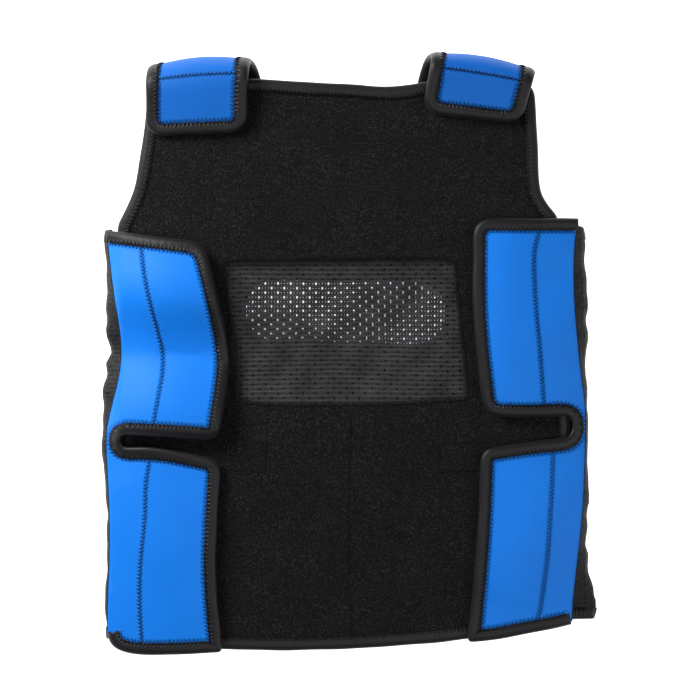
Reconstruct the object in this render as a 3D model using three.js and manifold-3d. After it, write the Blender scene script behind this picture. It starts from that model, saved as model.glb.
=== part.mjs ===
// A child's weighted compression vest, lying on its back: a black front panel with a mesh window, blue wings that
// wrap from the sides onto the chest, two shoulder straps that fold over onto the front, mesh sides and a back panel.
// Millimetres. +Z is up, out of the chest, +Y runs from the hem to the neck, +X is the wearer's left.
import * as THREE from 'three';
import { mergeVertices } from 'three/addons/utils/BufferGeometryUtils.js';
import Module from 'manifold-3d';

const wasm = await Module();
wasm.setup();

// Overall sizes
const vestWidth = 371;
const vestLength = 450;
const loft = 42; // the hollow between the front and back panels at its highest
const backWidth = 296;

// Cloth
const panelThickness = 3; // neoprene faced with knitted cloth
const meshThickness = 1;
const bindingWall = 0.8; // one turn of binding tape
const bindingWidth = 9;
const clearance = 0.4; // left between one layer and the next
const edgeRelief = 1; // room between a panel's cut edge and the fold of its binding
const restGap = 0.3; // the bound edge of the back panel clears the surface by this

// Details
const cornerCut = 11; // how far a full corner is rounded back along its edges
const windowMargin = 8; // mesh behind the cloth around a window
const seamTuck = 5; // mesh under the edge that it is sewn to
const strapWidth = 72;
const strapCorner = 13;
const backWindowLength = 156;
const backWindowHeight = 53;

// Fineness of the facets
const pathStep = 2.5;
const chordError = 0.28;
const frontCell = { x: 28, y: 60 };
const wingCell = { x: 17, y: 18 };
const backCell = { x: 45, y: 60 };

// Layers, measured out from the inner face of the front panel
const foldOut = clearance + bindingWall; // a binding stands this far off the cloth that it wraps
const wingLift = panelThickness + 2 * foldOut + clearance;
const backCurl = foldOut + restGap;

// Turns lists of numbers into rows with named columns.
function table(columns, lines) {
  return lines.map((line) => Object.fromEntries(columns.map((column, i) => [column, line[i]])));
}

const soft = 9; // a bend so long that it reaches half way to each neighbour

// Outlines. x is a share of the width from the middle, y a share of the length from the hem,
// and round a share of cornerCut.
const outlineColumns = ['x', 'y', 'round'];

const frontEdge = table(outlineColumns, [
  [-0.407, 0.955, 1], [-0.175, 0.955, soft], [-0.090, 0.948, soft], [0.000, 0.946, soft],
  [0.075, 0.940, soft], [0.125, 0.944, soft], [0.160, 0.951, soft], [0.250, 0.947, soft],
  [0.373, 0.920, 1], [0.376, 0.890, soft], [0.381, 0.850, soft], [0.382, 0.785, soft], [0.390, 0.755, soft],
  [0.419, 0.728, 0.6], [0.425, 0.670, soft], [0.425, 0.610, soft], [0.431, 0.522, soft],
  [0.441, 0.438, soft], [0.449, 0.355, soft], [0.445, 0.255, soft], [0.433, 0.155, soft],
  [0.429, 0.050, 1], [0.245, 0.024, soft], [0.090, 0.012, soft], [-0.090, 0.005, soft],
  [-0.256, 0.007, soft], [-0.458, 0.014, 1], [-0.454, 0.100, soft], [-0.454, 0.200, soft],
  [-0.462, 0.347, soft], [-0.454, 0.390, soft], [-0.431, 0.455, soft], [-0.428, 0.505, soft],
  [-0.447, 0.588, soft], [-0.458, 0.670, soft], [-0.464, 0.718, 0.6], [-0.447, 0.743, soft],
  [-0.429, 0.782, soft], [-0.419, 0.835, soft], [-0.408, 0.900, soft],
]);

const frontWindow = table(outlineColumns, [
  [-0.249, 0.648, 0.3], [-0.020, 0.652, soft], [0.207, 0.653, 0.3], [0.213, 0.600, soft],
  [0.235, 0.427, 0.3], [0.165, 0.422, soft], [0.009, 0.417, soft], [-0.146, 0.417, soft],
  [-0.223, 0.423, 0.3], [-0.221, 0.497, soft], [-0.241, 0.593, soft],
]);

// Each wing has a bound edge, from its outer top corner round both flaps and the slot between them
// to its outer bottom corner, and a seam that joins it to the side mesh.
const wings = {
  right: {
    bound: table(outlineColumns, [
      [-0.486, 0.703, 0], [-0.290, 0.682, 1.1], [-0.266, 0.613, soft], [-0.241, 0.513, soft],
      [-0.239, 0.463, soft], [-0.260, 0.355, 1], [-0.361, 0.361, soft], [-0.458, 0.365, 0.55],
      [-0.458, 0.343, 0.55], [-0.393, 0.344, soft], [-0.330, 0.336, soft], [-0.256, 0.322, 1],
      [-0.263, 0.222, soft], [-0.268, 0.138, soft], [-0.254, 0.003, 0.4], [-0.371, -0.002, soft],
      [-0.489, 0.003, 1], [-0.488, 0.042, 0],
    ]),
    seam: table(outlineColumns, [
      [-0.487, 0.088, soft], [-0.482, 0.162, soft], [-0.482, 0.242, soft], [-0.488, 0.322, soft],
      [-0.489, 0.355, soft], [-0.486, 0.382, soft], [-0.473, 0.422, soft], [-0.461, 0.462, soft],
      [-0.457, 0.502, soft], [-0.461, 0.542, soft], [-0.469, 0.582, soft], [-0.483, 0.662, soft],
    ]),
  },
  left: {
    bound: table(outlineColumns, [
      [0.462, 0.723, 0], [0.249, 0.722, 1.4], [0.247, 0.588, soft], [0.252, 0.522, soft],
      [0.260, 0.462, soft], [0.270, 0.395, 1.3], [0.342, 0.393, soft], [0.403, 0.394, soft],
      [0.449, 0.396, 0.8], [0.449, 0.359, 0.8], [0.373, 0.354, soft], [0.314, 0.347, soft],
      [0.264, 0.340, 1.1], [0.262, 0.282, soft], [0.258, 0.205, soft], [0.249, 0.113, soft],
      [0.238, 0.020, 0.4], [0.286, 0.022, soft], [0.346, 0.032, soft], [0.403, 0.040, soft],
      [0.449, 0.048, 0],
    ]),
    seam: table(outlineColumns, [
      [0.450, 0.082, soft], [0.458, 0.142, soft], [0.469, 0.222, soft], [0.474, 0.290, soft],
      [0.477, 0.382, soft], [0.475, 0.422, soft], [0.467, 0.462, soft], [0.457, 0.542, soft],
      [0.452, 0.605, soft], [0.453, 0.680, soft],
    ]),
  },
};

// Where the side mesh bellies out furthest, from the hem to the armpit.
const bulgeColumns = ['y', 'x'];
const bulges = {
  right: table(bulgeColumns, [
    [0.022, -0.489], [0.082, -0.493], [0.142, -0.490], [0.222, -0.489], [0.282, -0.493],
    [0.335, -0.499], [0.402, -0.497], [0.442, -0.495], [0.462, -0.488], [0.482, -0.491],
    [0.502, -0.481], [0.542, -0.491], [0.602, -0.488], [0.662, -0.494], [0.690, -0.491],
  ]),
  left: table(bulgeColumns, [
    [0.056, 0.494], [0.080, 0.498], [0.105, 0.494], [0.128, 0.487], [0.162, 0.483],
    [0.182, 0.478], [0.222, 0.483], [0.282, 0.485], [0.342, 0.482], [0.372, 0.485],
    [0.442, 0.481], [0.482, 0.478], [0.502, 0.481], [0.582, 0.481], [0.662, 0.477],
    [0.700, 0.471],
  ]),
};

// The hollow's height along the body, and how it falls away to the sides, as shares of the loft.
const loftRows = table(['y', 'middle', 'broad', 'edge'], [
  [0.00, 0.80, 0.24, 0.30],
  [0.25, 0.94, 0.21, 0.33],
  [0.50, 1.00, 0.20, 0.35],
  [0.75, 1.00, 0.22, 0.33],
  [1.00, 0.90, 0.25, 0.20],
]);
const broadPower = 2.5;
const edgePower = 6;

// Humps where a wing stands off the chest: place and spread as shares of the width and length,
// and rise as a share of the loft.
const wingHumps = table(['x', 'y', 'spreadX', 'spreadY', 'rise'], [
  [-0.385, 0.605, 0.095, 0.090, 0.09],
  [-0.370, 0.420, 0.095, 0.075, 0.08],
  [-0.380, 0.170, 0.100, 0.120, 0.07],
  [0.360, 0.560, 0.095, 0.120, 0.08],
  [0.370, 0.190, 0.100, 0.100, 0.07],
]);

// The middle line of each strap, from its seam at the back, over the shoulder, to the end of its tab.
// lift goes from the back panel, 0, to the front, 1; turn is the width's slope in degrees;
// width is a share of strapWidth.
const strapColumns = ['x', 'y', 'lift', 'turn', 'width'];
const strapRows = {
  right: table(strapColumns, [
    [-0.276, 0.865, 0.00, 0, 1.02], [-0.278, 0.902, 0.01, 1, 1.02], [-0.284, 0.943, 0.09, 2, 1.03],
    [-0.293, 0.970, 0.36, 3, 1.04], [-0.298, 0.975, 0.72, 4, 1.03], [-0.301, 0.958, 1.01, 4, 1.01],
    [-0.303, 0.922, 1.05, 3, 1.00], [-0.304, 0.868, 1.00, 2, 0.99],
  ]),
  left: table(strapColumns, [
    [0.236, 0.865, 0.00, 0, 1.02], [0.239, 0.900, 0.01, -2, 1.02], [0.247, 0.940, 0.09, -6, 1.04],
    [0.260, 0.967, 0.36, -9, 1.06], [0.268, 0.972, 0.72, -9, 1.06], [0.266, 0.960, 0.99, -9, 1.04],
    [0.258, 0.939, 1.04, -8, 1.01], [0.244, 0.898, 1.00, -6, 0.98],
  ]),
};

// The back panel. Its neck and armholes start at the straps.
const backNeckRows = table(outlineColumns, [[0.132, 0.824, 1.6], [-0.018, 0.814, soft], [-0.172, 0.824, 1.6]]);
const backArmholeRows = {
  right: table(outlineColumns, [[-0.376, 0.810, soft], [-0.376, 0.735, soft], [-0.399, 0.700, 0]]),
  left: table(outlineColumns, [[0.336, 0.810, soft], [0.350, 0.740, soft], [0.399, 0.706, 0]]),
};
const backHemRows = table(outlineColumns, [
  [-0.399, 0.022, 0], [-0.200, 0.020, soft], [0.000, 0.022, soft], [0.220, 0.038, soft], [0.399, 0.062, 0],
]);
const backWindowPlace = { x: -0.015, y: 0.572 };

// Colours of the cloths
const looks = {
  blackCloth: new THREE.MeshStandardMaterial({ color: 0x141416, roughness: 0.95, metalness: 0 }),
  blueCloth: new THREE.MeshStandardMaterial({ color: 0x1f74e0, roughness: 0.75, metalness: 0 }),
  netCloth: new THREE.MeshStandardMaterial({ color: 0x2a2a2c, roughness: 0.7, metalness: 0 }),
  tape: new THREE.MeshStandardMaterial({ color: 0x2f2d2e, roughness: 0.6, metalness: 0 }),
};

const vest = new THREE.Group();

function addPiece(name, geometry, material) {
  const mesh = new THREE.Mesh(geometry, material);
  mesh.name = name;
  vest.add(mesh);
}

// A smooth curve through one column of a table, read at any place along its first column or row number.
function columnCurve(rows, column, along) {
  const place = (i) => (along ? rows[i][along] : i);
  const slope = (i) => {
    const before = Math.max(i - 1, 0);
    const after = Math.min(i + 1, rows.length - 1);
    return (rows[after][column] - rows[before][column]) / (place(after) - place(before));
  };
  return (at) => {
    const last = rows.length - 1;
    if (at <= place(0)) return rows[0][column];
    if (at >= place(last)) return rows[last][column];
    let i = 0;
    while (place(i + 1) < at) i += 1;
    const span = place(i + 1) - place(i);
    const t = (at - place(i)) / span;
    const rise = rows[i + 1][column] - rows[i][column];
    return rows[i][column]
      + rise * t * t * (3 - 2 * t)
      + span * (slope(i) * t * (1 - t) * (1 - t) - slope(i + 1) * t * t * (1 - t));
  };
}

const middleLoft = columnCurve(loftRows, 'middle', 'y');
const broadFall = columnCurve(loftRows, 'broad', 'y');
const edgeFall = columnCurve(loftRows, 'edge', 'y');

// The height of the front panel's inner face.
function chestHeight(x, y) {
  const side = Math.abs(x) / (vestWidth / 2);
  const along = y / vestLength;
  const fall = broadFall(along) * side ** broadPower + edgeFall(along) * side ** edgePower;
  return loft * middleLoft(along) * (1 - fall);
}

// A point straight above the front panel's inner face, where a layer at that height off the face passes.
function chestPoint(x, y, height) {
  const step = 1;
  const slopeX = (chestHeight(x + step, y) - chestHeight(x - step, y)) / (2 * step);
  const slopeY = (chestHeight(x, y + step) - chestHeight(x, y - step)) / (2 * step);
  return new THREE.Vector3(x, y, chestHeight(x, y) + height * Math.hypot(1, slopeX, slopeY));
}

function wingHump(x, y) {
  return wingHumps.reduce((sum, hump) => {
    const across = (x / vestWidth - hump.x) / hump.spreadX;
    const along = (y / vestLength - hump.y) / hump.spreadY;
    return sum + hump.rise * loft * Math.exp(-across * across - along * along);
  }, 0);
}

function wingPoint(x, y, height) {
  return chestPoint(x, y, wingLift + wingHump(x, y) + height);
}

// The outer face of the back panel: flat on the surface, its edges curled up by the binding's thickness.
const backMiddleY = (backHemRows[0].y + strapRows.right[0].y) / 2 * vestLength;
const backHalfLength = (strapRows.right[0].y - backHemRows[0].y) / 2 * vestLength;
const curlPower = 4;
const curlStart = 0.5;
const curlEnd = 0.88;

function backHeight(x, y) {
  const across = Math.abs(x / (backWidth / 2)) ** curlPower;
  const along = Math.abs((y - backMiddleY) / backHalfLength) ** curlPower;
  return backCurl * THREE.MathUtils.smoothstep((across + along) ** (1 / curlPower), curlStart, curlEnd);
}

function backPoint(x, y, height) {
  return new THREE.Vector3(x, y, backHeight(x, y) + height);
}

// A point on a strap: across its width, along it from the back seam, and out from its inner face.
function strapSurface(rows) {
  const line = new THREE.CatmullRomCurve3(rows.map((row) => new THREE.Vector3(
    row.x * vestWidth,
    row.y * vestLength,
    row.lift * (loft + wingLift),
  )));
  const length = line.getLength();
  const turnAt = columnCurve(rows, 'turn');
  const widthAt = columnCurve(rows, 'width');
  const lastRow = rows.length - 1;
  const faceAt = (across, along) => {
    const share = line.getUtoTmapping(THREE.MathUtils.clamp(along / length, 0, 1));
    const middle = line.getPoint(share);
    const turn = THREE.MathUtils.degToRad(turnAt(share * lastRow));
    const reach = across * widthAt(share * lastRow);
    const x = middle.x + reach * Math.cos(turn);
    const y = middle.y + reach * Math.sin(turn);
    const lift = Math.max(middle.z / (loft + wingLift), 0);
    const low = backHeight(x, y) + panelThickness;
    return new THREE.Vector3(x, y, THREE.MathUtils.lerp(low, chestPoint(x, y, wingLift).z, lift));
  };
  const point = (across, along, height) => {
    const step = 1;
    const fore = Math.min(along + step, length);
    const aft = Math.max(along - step, 0);
    const sideways = faceAt(across + step, along).sub(faceAt(across - step, along));
    const onward = faceAt(across, fore).sub(faceAt(across, aft));
    const outward = new THREE.Vector3().crossVectors(onward, sideways).normalize();
    return faceAt(across, along).addScaledVector(outward, height);
  };
  return { point, length };
}

const straps = { right: strapSurface(strapRows.right), left: strapSurface(strapRows.left) };

// The side mesh, from under the wing's seam, round the side, to the edge of the back panel.
const meshDrop = clearance + foldOut; // the mesh hangs clear of the wing's binding
const meshSag = 2.1;
const meshSpans = 12;

function sideSurface(sideName) {
  const side = sideName === 'left' ? 1 : -1;
  const { bound, seam } = wings[sideName];
  const edgeRows = [bound.at(-1), ...seam, bound[0]];
  const seamX = columnCurve(edgeRows, 'x', 'y');
  const bulgeX = columnCurve(bulges[sideName], 'x', 'y');
  const bottom = bulges[sideName][0].y * vestLength;
  const top = bulges[sideName].at(-1).y * vestLength;
  // The mesh's outer face in one section across the body.
  const sectionAt = (y) => {
    const edge = seamX(y / vestLength) * vestWidth;
    const belly = bulgeX(y / vestLength) * vestWidth;
    const backEdge = side * backWidth / 2;
    const start = wingPoint(edge - side * seamTuck, y, -meshDrop - meshSag / 3);
    const under = wingPoint(edge - side * 0.3 * seamTuck, y, -meshDrop - meshSag);
    const fromTape = Math.min(y - bottom, top - y) / bindingWidth;
    const overTape = foldOut * (1 - THREE.MathUtils.smoothstep(fromTape, 1, 3));
    const landing = backHeight(backEdge, y) + panelThickness + overTape + clearance + meshThickness;
    const drop = under.z - landing;
    return new THREE.CatmullRomCurve3([
      start,
      under,
      new THREE.Vector3(belly - side * 0.03 * drop, y, under.z - 0.32 * drop),
      new THREE.Vector3(belly - side * 0.06 * drop, y, under.z - 0.6 * drop),
      new THREE.Vector3((belly + backEdge) / 2, y, landing + 0.1 * drop),
      new THREE.Vector3(backEdge + side, y, landing),
      new THREE.Vector3(backEdge - side * seamTuck, y, landing),
    ], false, 'centripetal');
  };
  const point = (share, y, height) => {
    const section = sectionAt(y);
    const along = section.getTangent(THREE.MathUtils.clamp(share, 0, 1));
    const outward = new THREE.Vector3(-along.z, 0, along.x).multiplyScalar(-side);
    return section.getPoint(THREE.MathUtils.clamp(share, 0, 1)).addScaledVector(outward, height);
  };
  return { point, bottom, top, side };
}

const sides = { right: sideSurface('right'), left: sideSurface('left') };

// A path through the rows of an outline, its corners rounded, as points a short step apart.
function edgePoints(rows, closed = false) {
  const corners = rows.map((row) => new THREE.Vector2(row.x * vestWidth, row.y * vestLength));
  const count = corners.length;
  const path = new THREE.Path();
  const cut = (i) => {
    const corner = corners[i];
    const before = corners[(i - 1 + count) % count];
    const after = corners[(i + 1) % count];
    const reach = rows[i].round * cornerCut;
    const toward = (other) => {
      const distance = corner.distanceTo(other);
      return corner.clone().lerp(other, Math.min(reach, distance / 2) / distance);
    };
    return [toward(before), corner, toward(after)];
  };
  const first = closed ? cut(0)[2] : corners[0];
  path.moveTo(first.x, first.y);
  const turns = closed ? count : count - 1;
  for (let i = 1; i < turns; i += 1) addCorner(path, cut(i));
  if (closed) addCorner(path, cut(0));
  else path.lineTo(corners[count - 1].x, corners[count - 1].y);
  const points = path.getSpacedPoints(Math.round(path.getLength() / pathStep));
  return closed ? points.slice(0, -1) : points;
}

function addCorner(path, [start, corner, end]) {
  if (start.distanceTo(path.currentPoint) > 1e-6) path.lineTo(start.x, start.y);
  if (start.distanceTo(end) > 1e-6) path.quadraticCurveTo(corner.x, corner.y, end.x, end.y);
}

// The directions square to a path of flat points, on its left.
function leftNormals(points, closed) {
  const count = points.length;
  return points.map((point, i) => {
    const before = closed ? points[(i - 1 + count) % count] : points[Math.max(i - 1, 0)];
    const after = closed ? points[(i + 1) % count] : points[Math.min(i + 1, count - 1)];
    const along = after.clone().sub(before).normalize();
    return new THREE.Vector2(-along.y, along.x);
  });
}

// Keeps only the stations that a draped edge needs, so that no facet strays from it by more than chordError.
function thinStations(lines, closed) {
  const count = lines[0].length;
  const kept = new Set(closed ? [0, Math.round(count / 3), Math.round(2 * count / 3)] : [0, count - 1]);
  const split = (from, to) => {
    let worst = 0;
    let at = -1;
    for (const line of lines) {
      const chord = new THREE.Line3(line[from], line[to % count]);
      for (let i = from + 1; i < to; i += 1) {
        const nearest = chord.closestPointToPoint(line[i], true, new THREE.Vector3());
        const error = nearest.distanceTo(line[i]);
        if (error > worst) [worst, at] = [error, i];
      }
    }
    if (worst > chordError) {
      kept.add(at);
      split(from, at);
      split(at, to);
    }
  };
  const anchors = [...kept].sort((a, b) => a - b);
  if (closed) anchors.push(count);
  for (let i = 0; i + 1 < anchors.length; i += 1) split(anchors[i], anchors[i + 1]);
  return [...kept].sort((a, b) => a - b);
}

// A closed body through rings of points, with its ends capped unless it closes on itself.
function ringBody(rings, closed = false) {
  const size = rings[0].length;
  const indices = [];
  const joins = closed ? rings.length : rings.length - 1;
  for (let i = 0; i < joins; i += 1) {
    const here = i * size;
    const next = ((i + 1) % rings.length) * size;
    for (let j = 0; j < size; j += 1) {
      const k = (j + 1) % size;
      indices.push(here + j, here + k, next + j, here + k, next + k, next + j);
    }
  }
  if (!closed) {
    for (const [ring, flip] of [[0, true], [rings.length - 1, false]]) {
      for (const [a, b, c] of capTriangles(rings[ring])) {
        const corner = [a, b, c].map((i) => ring * size + i);
        indices.push(...(flip ? corner.reverse() : corner));
      }
    }
  }
  return outward(rings.flat(), indices);
}

// Triangles across the end of a ring, worked out in the ring's own plane.
function capTriangles(ring) {
  const centre = ring.reduce((sum, p) => sum.add(p), new THREE.Vector3()).divideScalar(ring.length);
  const normal = new THREE.Vector3();
  ring.forEach((p, i) => {
    const next = ring[(i + 1) % ring.length];
    normal.add(new THREE.Vector3().crossVectors(p.clone().sub(centre), next.clone().sub(centre)));
  });
  const flat = new THREE.Quaternion().setFromUnitVectors(normal.normalize(), new THREE.Vector3(0, 0, 1));
  const outline = ring.map((p) => {
    const turned = p.clone().sub(centre).applyQuaternion(flat);
    return new THREE.Vector2(turned.x, turned.y);
  });
  return THREE.ShapeUtils.triangulateShape(outline, []);
}

// A geometry from points and triangles, turned so that its faces point out.
function outward(points, indices) {
  let volume = 0;
  for (let i = 0; i < indices.length; i += 3) {
    const [a, b, c] = [points[indices[i]], points[indices[i + 1]], points[indices[i + 2]]];
    volume += a.dot(new THREE.Vector3().crossVectors(b, c));
  }
  const geometry = new THREE.BufferGeometry().setFromPoints(points);
  geometry.setIndex(volume > 0 ? indices : indices.reverse());
  geometry.computeVertexNormals();
  return geometry;
}

function toSolid(geometry) {
  const bare = new THREE.BufferGeometry();
  bare.setAttribute('position', geometry.getAttribute('position'));
  if (geometry.index) bare.setIndex(geometry.index);
  const merged = mergeVertices(bare, 1e-4);
  return new wasm.Manifold(new wasm.Mesh({
    numProp: 3,
    vertProperties: new Float32Array(merged.attributes.position.array),
    triVerts: new Uint32Array(merged.index.array),
  }));
}

function fromSolid(solid) {
  const { vertProperties, triVerts } = solid.getMesh();
  const geometry = new THREE.BufferGeometry();
  geometry.setAttribute('position', new THREE.BufferAttribute(vertProperties, 3));
  geometry.setIndex(new THREE.BufferAttribute(triVerts, 1));
  geometry.computeVertexNormals();
  return geometry;
}

// Grid lines that cover a stretch, closer together towards the vest's sides, where the body turns down.
function gridLines(low, high, cell, crowd = () => 1) {
  const lines = [low];
  while (lines.at(-1) < high) lines.push(lines.at(-1) + cell * crowd(lines.at(-1)));
  return lines;
}

const sideCrowding = (x) => 1 - 0.6 * THREE.MathUtils.smoothstep(Math.abs(x), 0.26 * vestWidth, 0.42 * vestWidth);

// The points of a closed outline, anticlockwise, without the ones that lie on a straight run.
function cornersOf(outline) {
  const bend = 1e-3;
  const corners = outline.filter((point, i) => {
    const before = outline.at(i - 1).clone().sub(point).normalize();
    const after = outline[(i + 1) % outline.length].clone().sub(point).normalize();
    return Math.abs(before.cross(after)) > bend;
  });
  return THREE.ShapeUtils.isClockWise(corners) ? corners.reverse() : corners;
}

// A sheet of cloth on a surface, cut to an outline with holes: a curved slab meets a straight-sided cutter.
function cutSheet(surface, low, high, outline, holes, cell, crowd) {
  const box = new THREE.Box2().setFromPoints(outline);
  const margin = 2;
  const xs = gridLines(box.min.x - margin, box.max.x + margin, cell.x, crowd);
  const ys = gridLines(box.min.y - margin, box.max.y + margin, cell.y);
  const points = [];
  for (const height of [low, high]) for (const y of ys) for (const x of xs) points.push(surface(x, y, height));
  const layer = xs.length * ys.length;
  const indices = [];
  const quad = (a, b, c, d) => indices.push(a, b, c, a, c, d);
  for (let j = 0; j + 1 < ys.length; j += 1) {
    for (let i = 0; i + 1 < xs.length; i += 1) {
      const a = j * xs.length + i;
      const [b, c, d] = [a + 1, a + 1 + xs.length, a + xs.length];
      quad(a, d, c, b);
      quad(layer + a, layer + b, layer + c, layer + d);
    }
  }
  const rim = [];
  for (let i = 0; i < xs.length - 1; i += 1) rim.push(i);
  for (let j = 0; j < ys.length - 1; j += 1) rim.push(j * xs.length + xs.length - 1);
  for (let i = xs.length - 1; i > 0; i -= 1) rim.push((ys.length - 1) * xs.length + i);
  for (let j = ys.length - 1; j > 0; j -= 1) rim.push(j * xs.length);
  rim.forEach((a, i) => {
    const b = rim[(i + 1) % rim.length];
    quad(a, b, layer + b, layer + a);
  });
  const slab = toSolid(outward(points, indices));
  const shape = new THREE.Shape(cornersOf(outline));
  shape.holes = holes.map((hole) => new THREE.Path(cornersOf(hole)));
  const reach = 3 * (loft + wingLift);
  const cutter = new THREE.ExtrudeGeometry(shape, { depth: 2 * reach, bevelEnabled: false });
  cutter.translate(0, 0, -reach);
  return fromSolid(slab.intersect(toSolid(cutter)));
}

// A tape folded over the edge of a cloth: a thin channel whose fold follows the path.
// turn is 1 where the cloth is on the path's left and -1 where it is on its right.
function bindEdge(surface, path, turn, clothThickness, closed = false, everyStation = false) {
  const normals = leftNormals(path, closed);
  const middle = clothThickness / 2;
  const gap = middle + clearance;
  const reach = gap + bindingWall;
  const fold = 2 * bindingWall;
  const section = [
    [bindingWidth, reach], [fold, reach], [0, 0], [fold, -reach], [bindingWidth, -reach],
    [bindingWidth, -gap], [fold + bindingWall, -gap], [fold + bindingWall, gap], [bindingWidth, gap],
  ];
  const place = (i, inset, height) => {
    const spot = path[i].clone().addScaledVector(normals[i], turn * inset);
    return surface(spot.x, spot.y, middle + height);
  };
  const lines = [[0, 0], [bindingWidth, reach]].map(([inset, height]) => path.map((_, i) => place(i, inset, height)));
  const stations = everyStation ? path.map((_, i) => i) : thinStations(lines, closed);
  const rings = stations.map((i) => section.map(([inset, height]) => place(i, inset, height)));
  return { geometry: ringBody(rings, closed), stations };
}

// A cloth's cut edge, set back inside the fold of its binding.
function insetEdge(path, stations, turn, closed = false) {
  const normals = leftNormals(path, closed);
  const inset = 3 * bindingWall + edgeRelief;
  return stations.map((i) => path[i].clone().addScaledVector(normals[i], turn * inset));
}

// The front panel with its mesh window, and one tape all round it.
function buildFront() {
  const path = edgePoints(frontEdge, true);
  const turn = Math.sign(THREE.ShapeUtils.area(path));
  const binding = bindEdge(chestPoint, path, turn, panelThickness, true);
  const outline = insetEdge(path, binding.stations, turn, true);
  const opening = edgePoints(frontWindow, true);
  const openingTurn = Math.sign(THREE.ShapeUtils.area(opening));
  const openingStations = thinStations([opening.map((p) => chestPoint(p.x, p.y, 0))], true);
  const hole = openingStations.map((i) => opening[i]);
  const normals = leftNormals(opening, true);
  const netOutline = openingStations.map(
    (i) => opening[i].clone().addScaledVector(normals[i], -openingTurn * windowMargin),
  );
  const netTop = -clearance;
  addPiece('front_panel', cutSheet(chestPoint, 0, panelThickness, outline, [hole], frontCell, sideCrowding),
    looks.blackCloth);
  addPiece('front_binding', binding.geometry, looks.tape);
  addPiece('front_mesh_window', cutSheet(chestPoint, netTop - meshThickness, netTop, netOutline, [], frontCell),
    looks.netCloth);
}

// One wing: upper and lower flaps in one piece of cloth, bound round its free edges.
function buildWing(sideName) {
  const { bound, seam } = wings[sideName];
  const path = edgePoints(bound);
  const seamPath = edgePoints([bound.at(-1), ...seam, bound[0]]);
  const turn = Math.sign(THREE.ShapeUtils.area([...path, ...seamPath]));
  const binding = bindEdge(wingPoint, path, turn, panelThickness);
  const seamStations = thinStations([seamPath.map((p) => wingPoint(p.x, p.y, 0))], false);
  const seamPoints = seamStations.slice(1, -1).map((i) => seamPath[i]);
  const outline = [...insetEdge(path, binding.stations, turn), ...seamPoints];
  addPiece(`wing_${sideName}`, cutSheet(wingPoint, 0, panelThickness, outline, [], wingCell), looks.blueCloth);
  addPiece(`wing_binding_${sideName}`, binding.geometry, looks.tape);
}

// A sheet through sections that run from one face to the other: across points on top, and back below.
function sheetSection(surface, acrossPoints, along, low, high) {
  const top = acrossPoints.map((across) => surface(across, along, high));
  const under = acrossPoints.map((across) => surface(across, along, low));
  return [...top, ...under.reverse()];
}

// One shoulder strap with the rounded tab at its end, and the tape round its free edges.
function buildStrap(sideName) {
  const { point, length } = straps[sideName];
  const acrossSteps = 4;
  const alongSteps = 20;
  const cornerSteps = 3;
  const inset = 3 * bindingWall + edgeRelief;
  const end = length - inset;
  const corner = strapCorner - inset;
  const halfWidth = strapWidth / 2 - inset;
  const stations = [];
  for (let i = 0; i <= alongSteps; i += 1) stations.push([(end - corner) * i / alongSteps, halfWidth]);
  for (let i = 1; i <= cornerSteps; i += 1) {
    const turn = (Math.PI / 2) * (i / cornerSteps);
    stations.push([end - corner + corner * Math.sin(turn), halfWidth - corner + corner * Math.cos(turn)]);
  }
  const rings = stations.map(([along, half]) => {
    const across = Array.from({ length: acrossSteps + 1 }, (_, i) => half * (2 * i / acrossSteps - 1));
    return sheetSection(point, across, along, 0, panelThickness);
  });
  addPiece(`shoulder_strap_${sideName}`, ringBody(rings), looks.blueCloth);
  const path = new THREE.Path();
  const half = strapWidth / 2;
  path.moveTo(-half, 0);
  path.lineTo(-half, length - strapCorner);
  path.absarc(-half + strapCorner, length - strapCorner, strapCorner, Math.PI, Math.PI / 2, true);
  path.lineTo(half - strapCorner, length);
  path.absarc(half - strapCorner, length - strapCorner, strapCorner, Math.PI / 2, 0, true);
  path.lineTo(half, 0);
  const edge = path.getSpacedPoints(Math.round(path.getLength() / pathStep));
  addPiece(`strap_binding_${sideName}`, bindEdge(point, edge, -1, panelThickness).geometry, looks.tape);
}

// One side's mesh, with a tape on its top and bottom edges.
function buildSide(sideName) {
  const { point, bottom, top } = sides[sideName];
  const rowStep = 20;
  const shares = Array.from({ length: meshSpans + 1 }, (_, i) => i / meshSpans);
  const inset = 3 * bindingWall + edgeRelief;
  const pastTape = bindingWidth + 1;
  const rowCount = Math.round((top - bottom - 2 * pastTape) / rowStep);
  const rows = [bottom + inset, bottom + bindingWidth / 2];
  for (let i = 0; i <= rowCount; i += 1) {
    rows.push(THREE.MathUtils.lerp(bottom + pastTape, top - pastTape, i / rowCount));
  }
  rows.push(top - bindingWidth / 2, top - inset);
  const rings = rows.map((y) => sheetSection(point, shares, y, -meshThickness, 0));
  addPiece(`side_mesh_${sideName}`, ringBody(rings), looks.netCloth);
  const taped = shares.slice(3, 10); // clear of the wing's seam and of the back panel
  const sectionLength = 60;
  for (const [name, y, facing] of [['armpit', top, -1], ['side_hem', bottom, 1]]) {
    const path = taped.map((share) => new THREE.Vector2(share * sectionLength, y));
    const surface = (along, at, height) => point(along / sectionLength, at, height - meshThickness);
    const binding = bindEdge(surface, path, facing, meshThickness, false, true);
    addPiece(`${name}_binding_${sideName}`, binding.geometry, looks.tape);
  }
}

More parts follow.
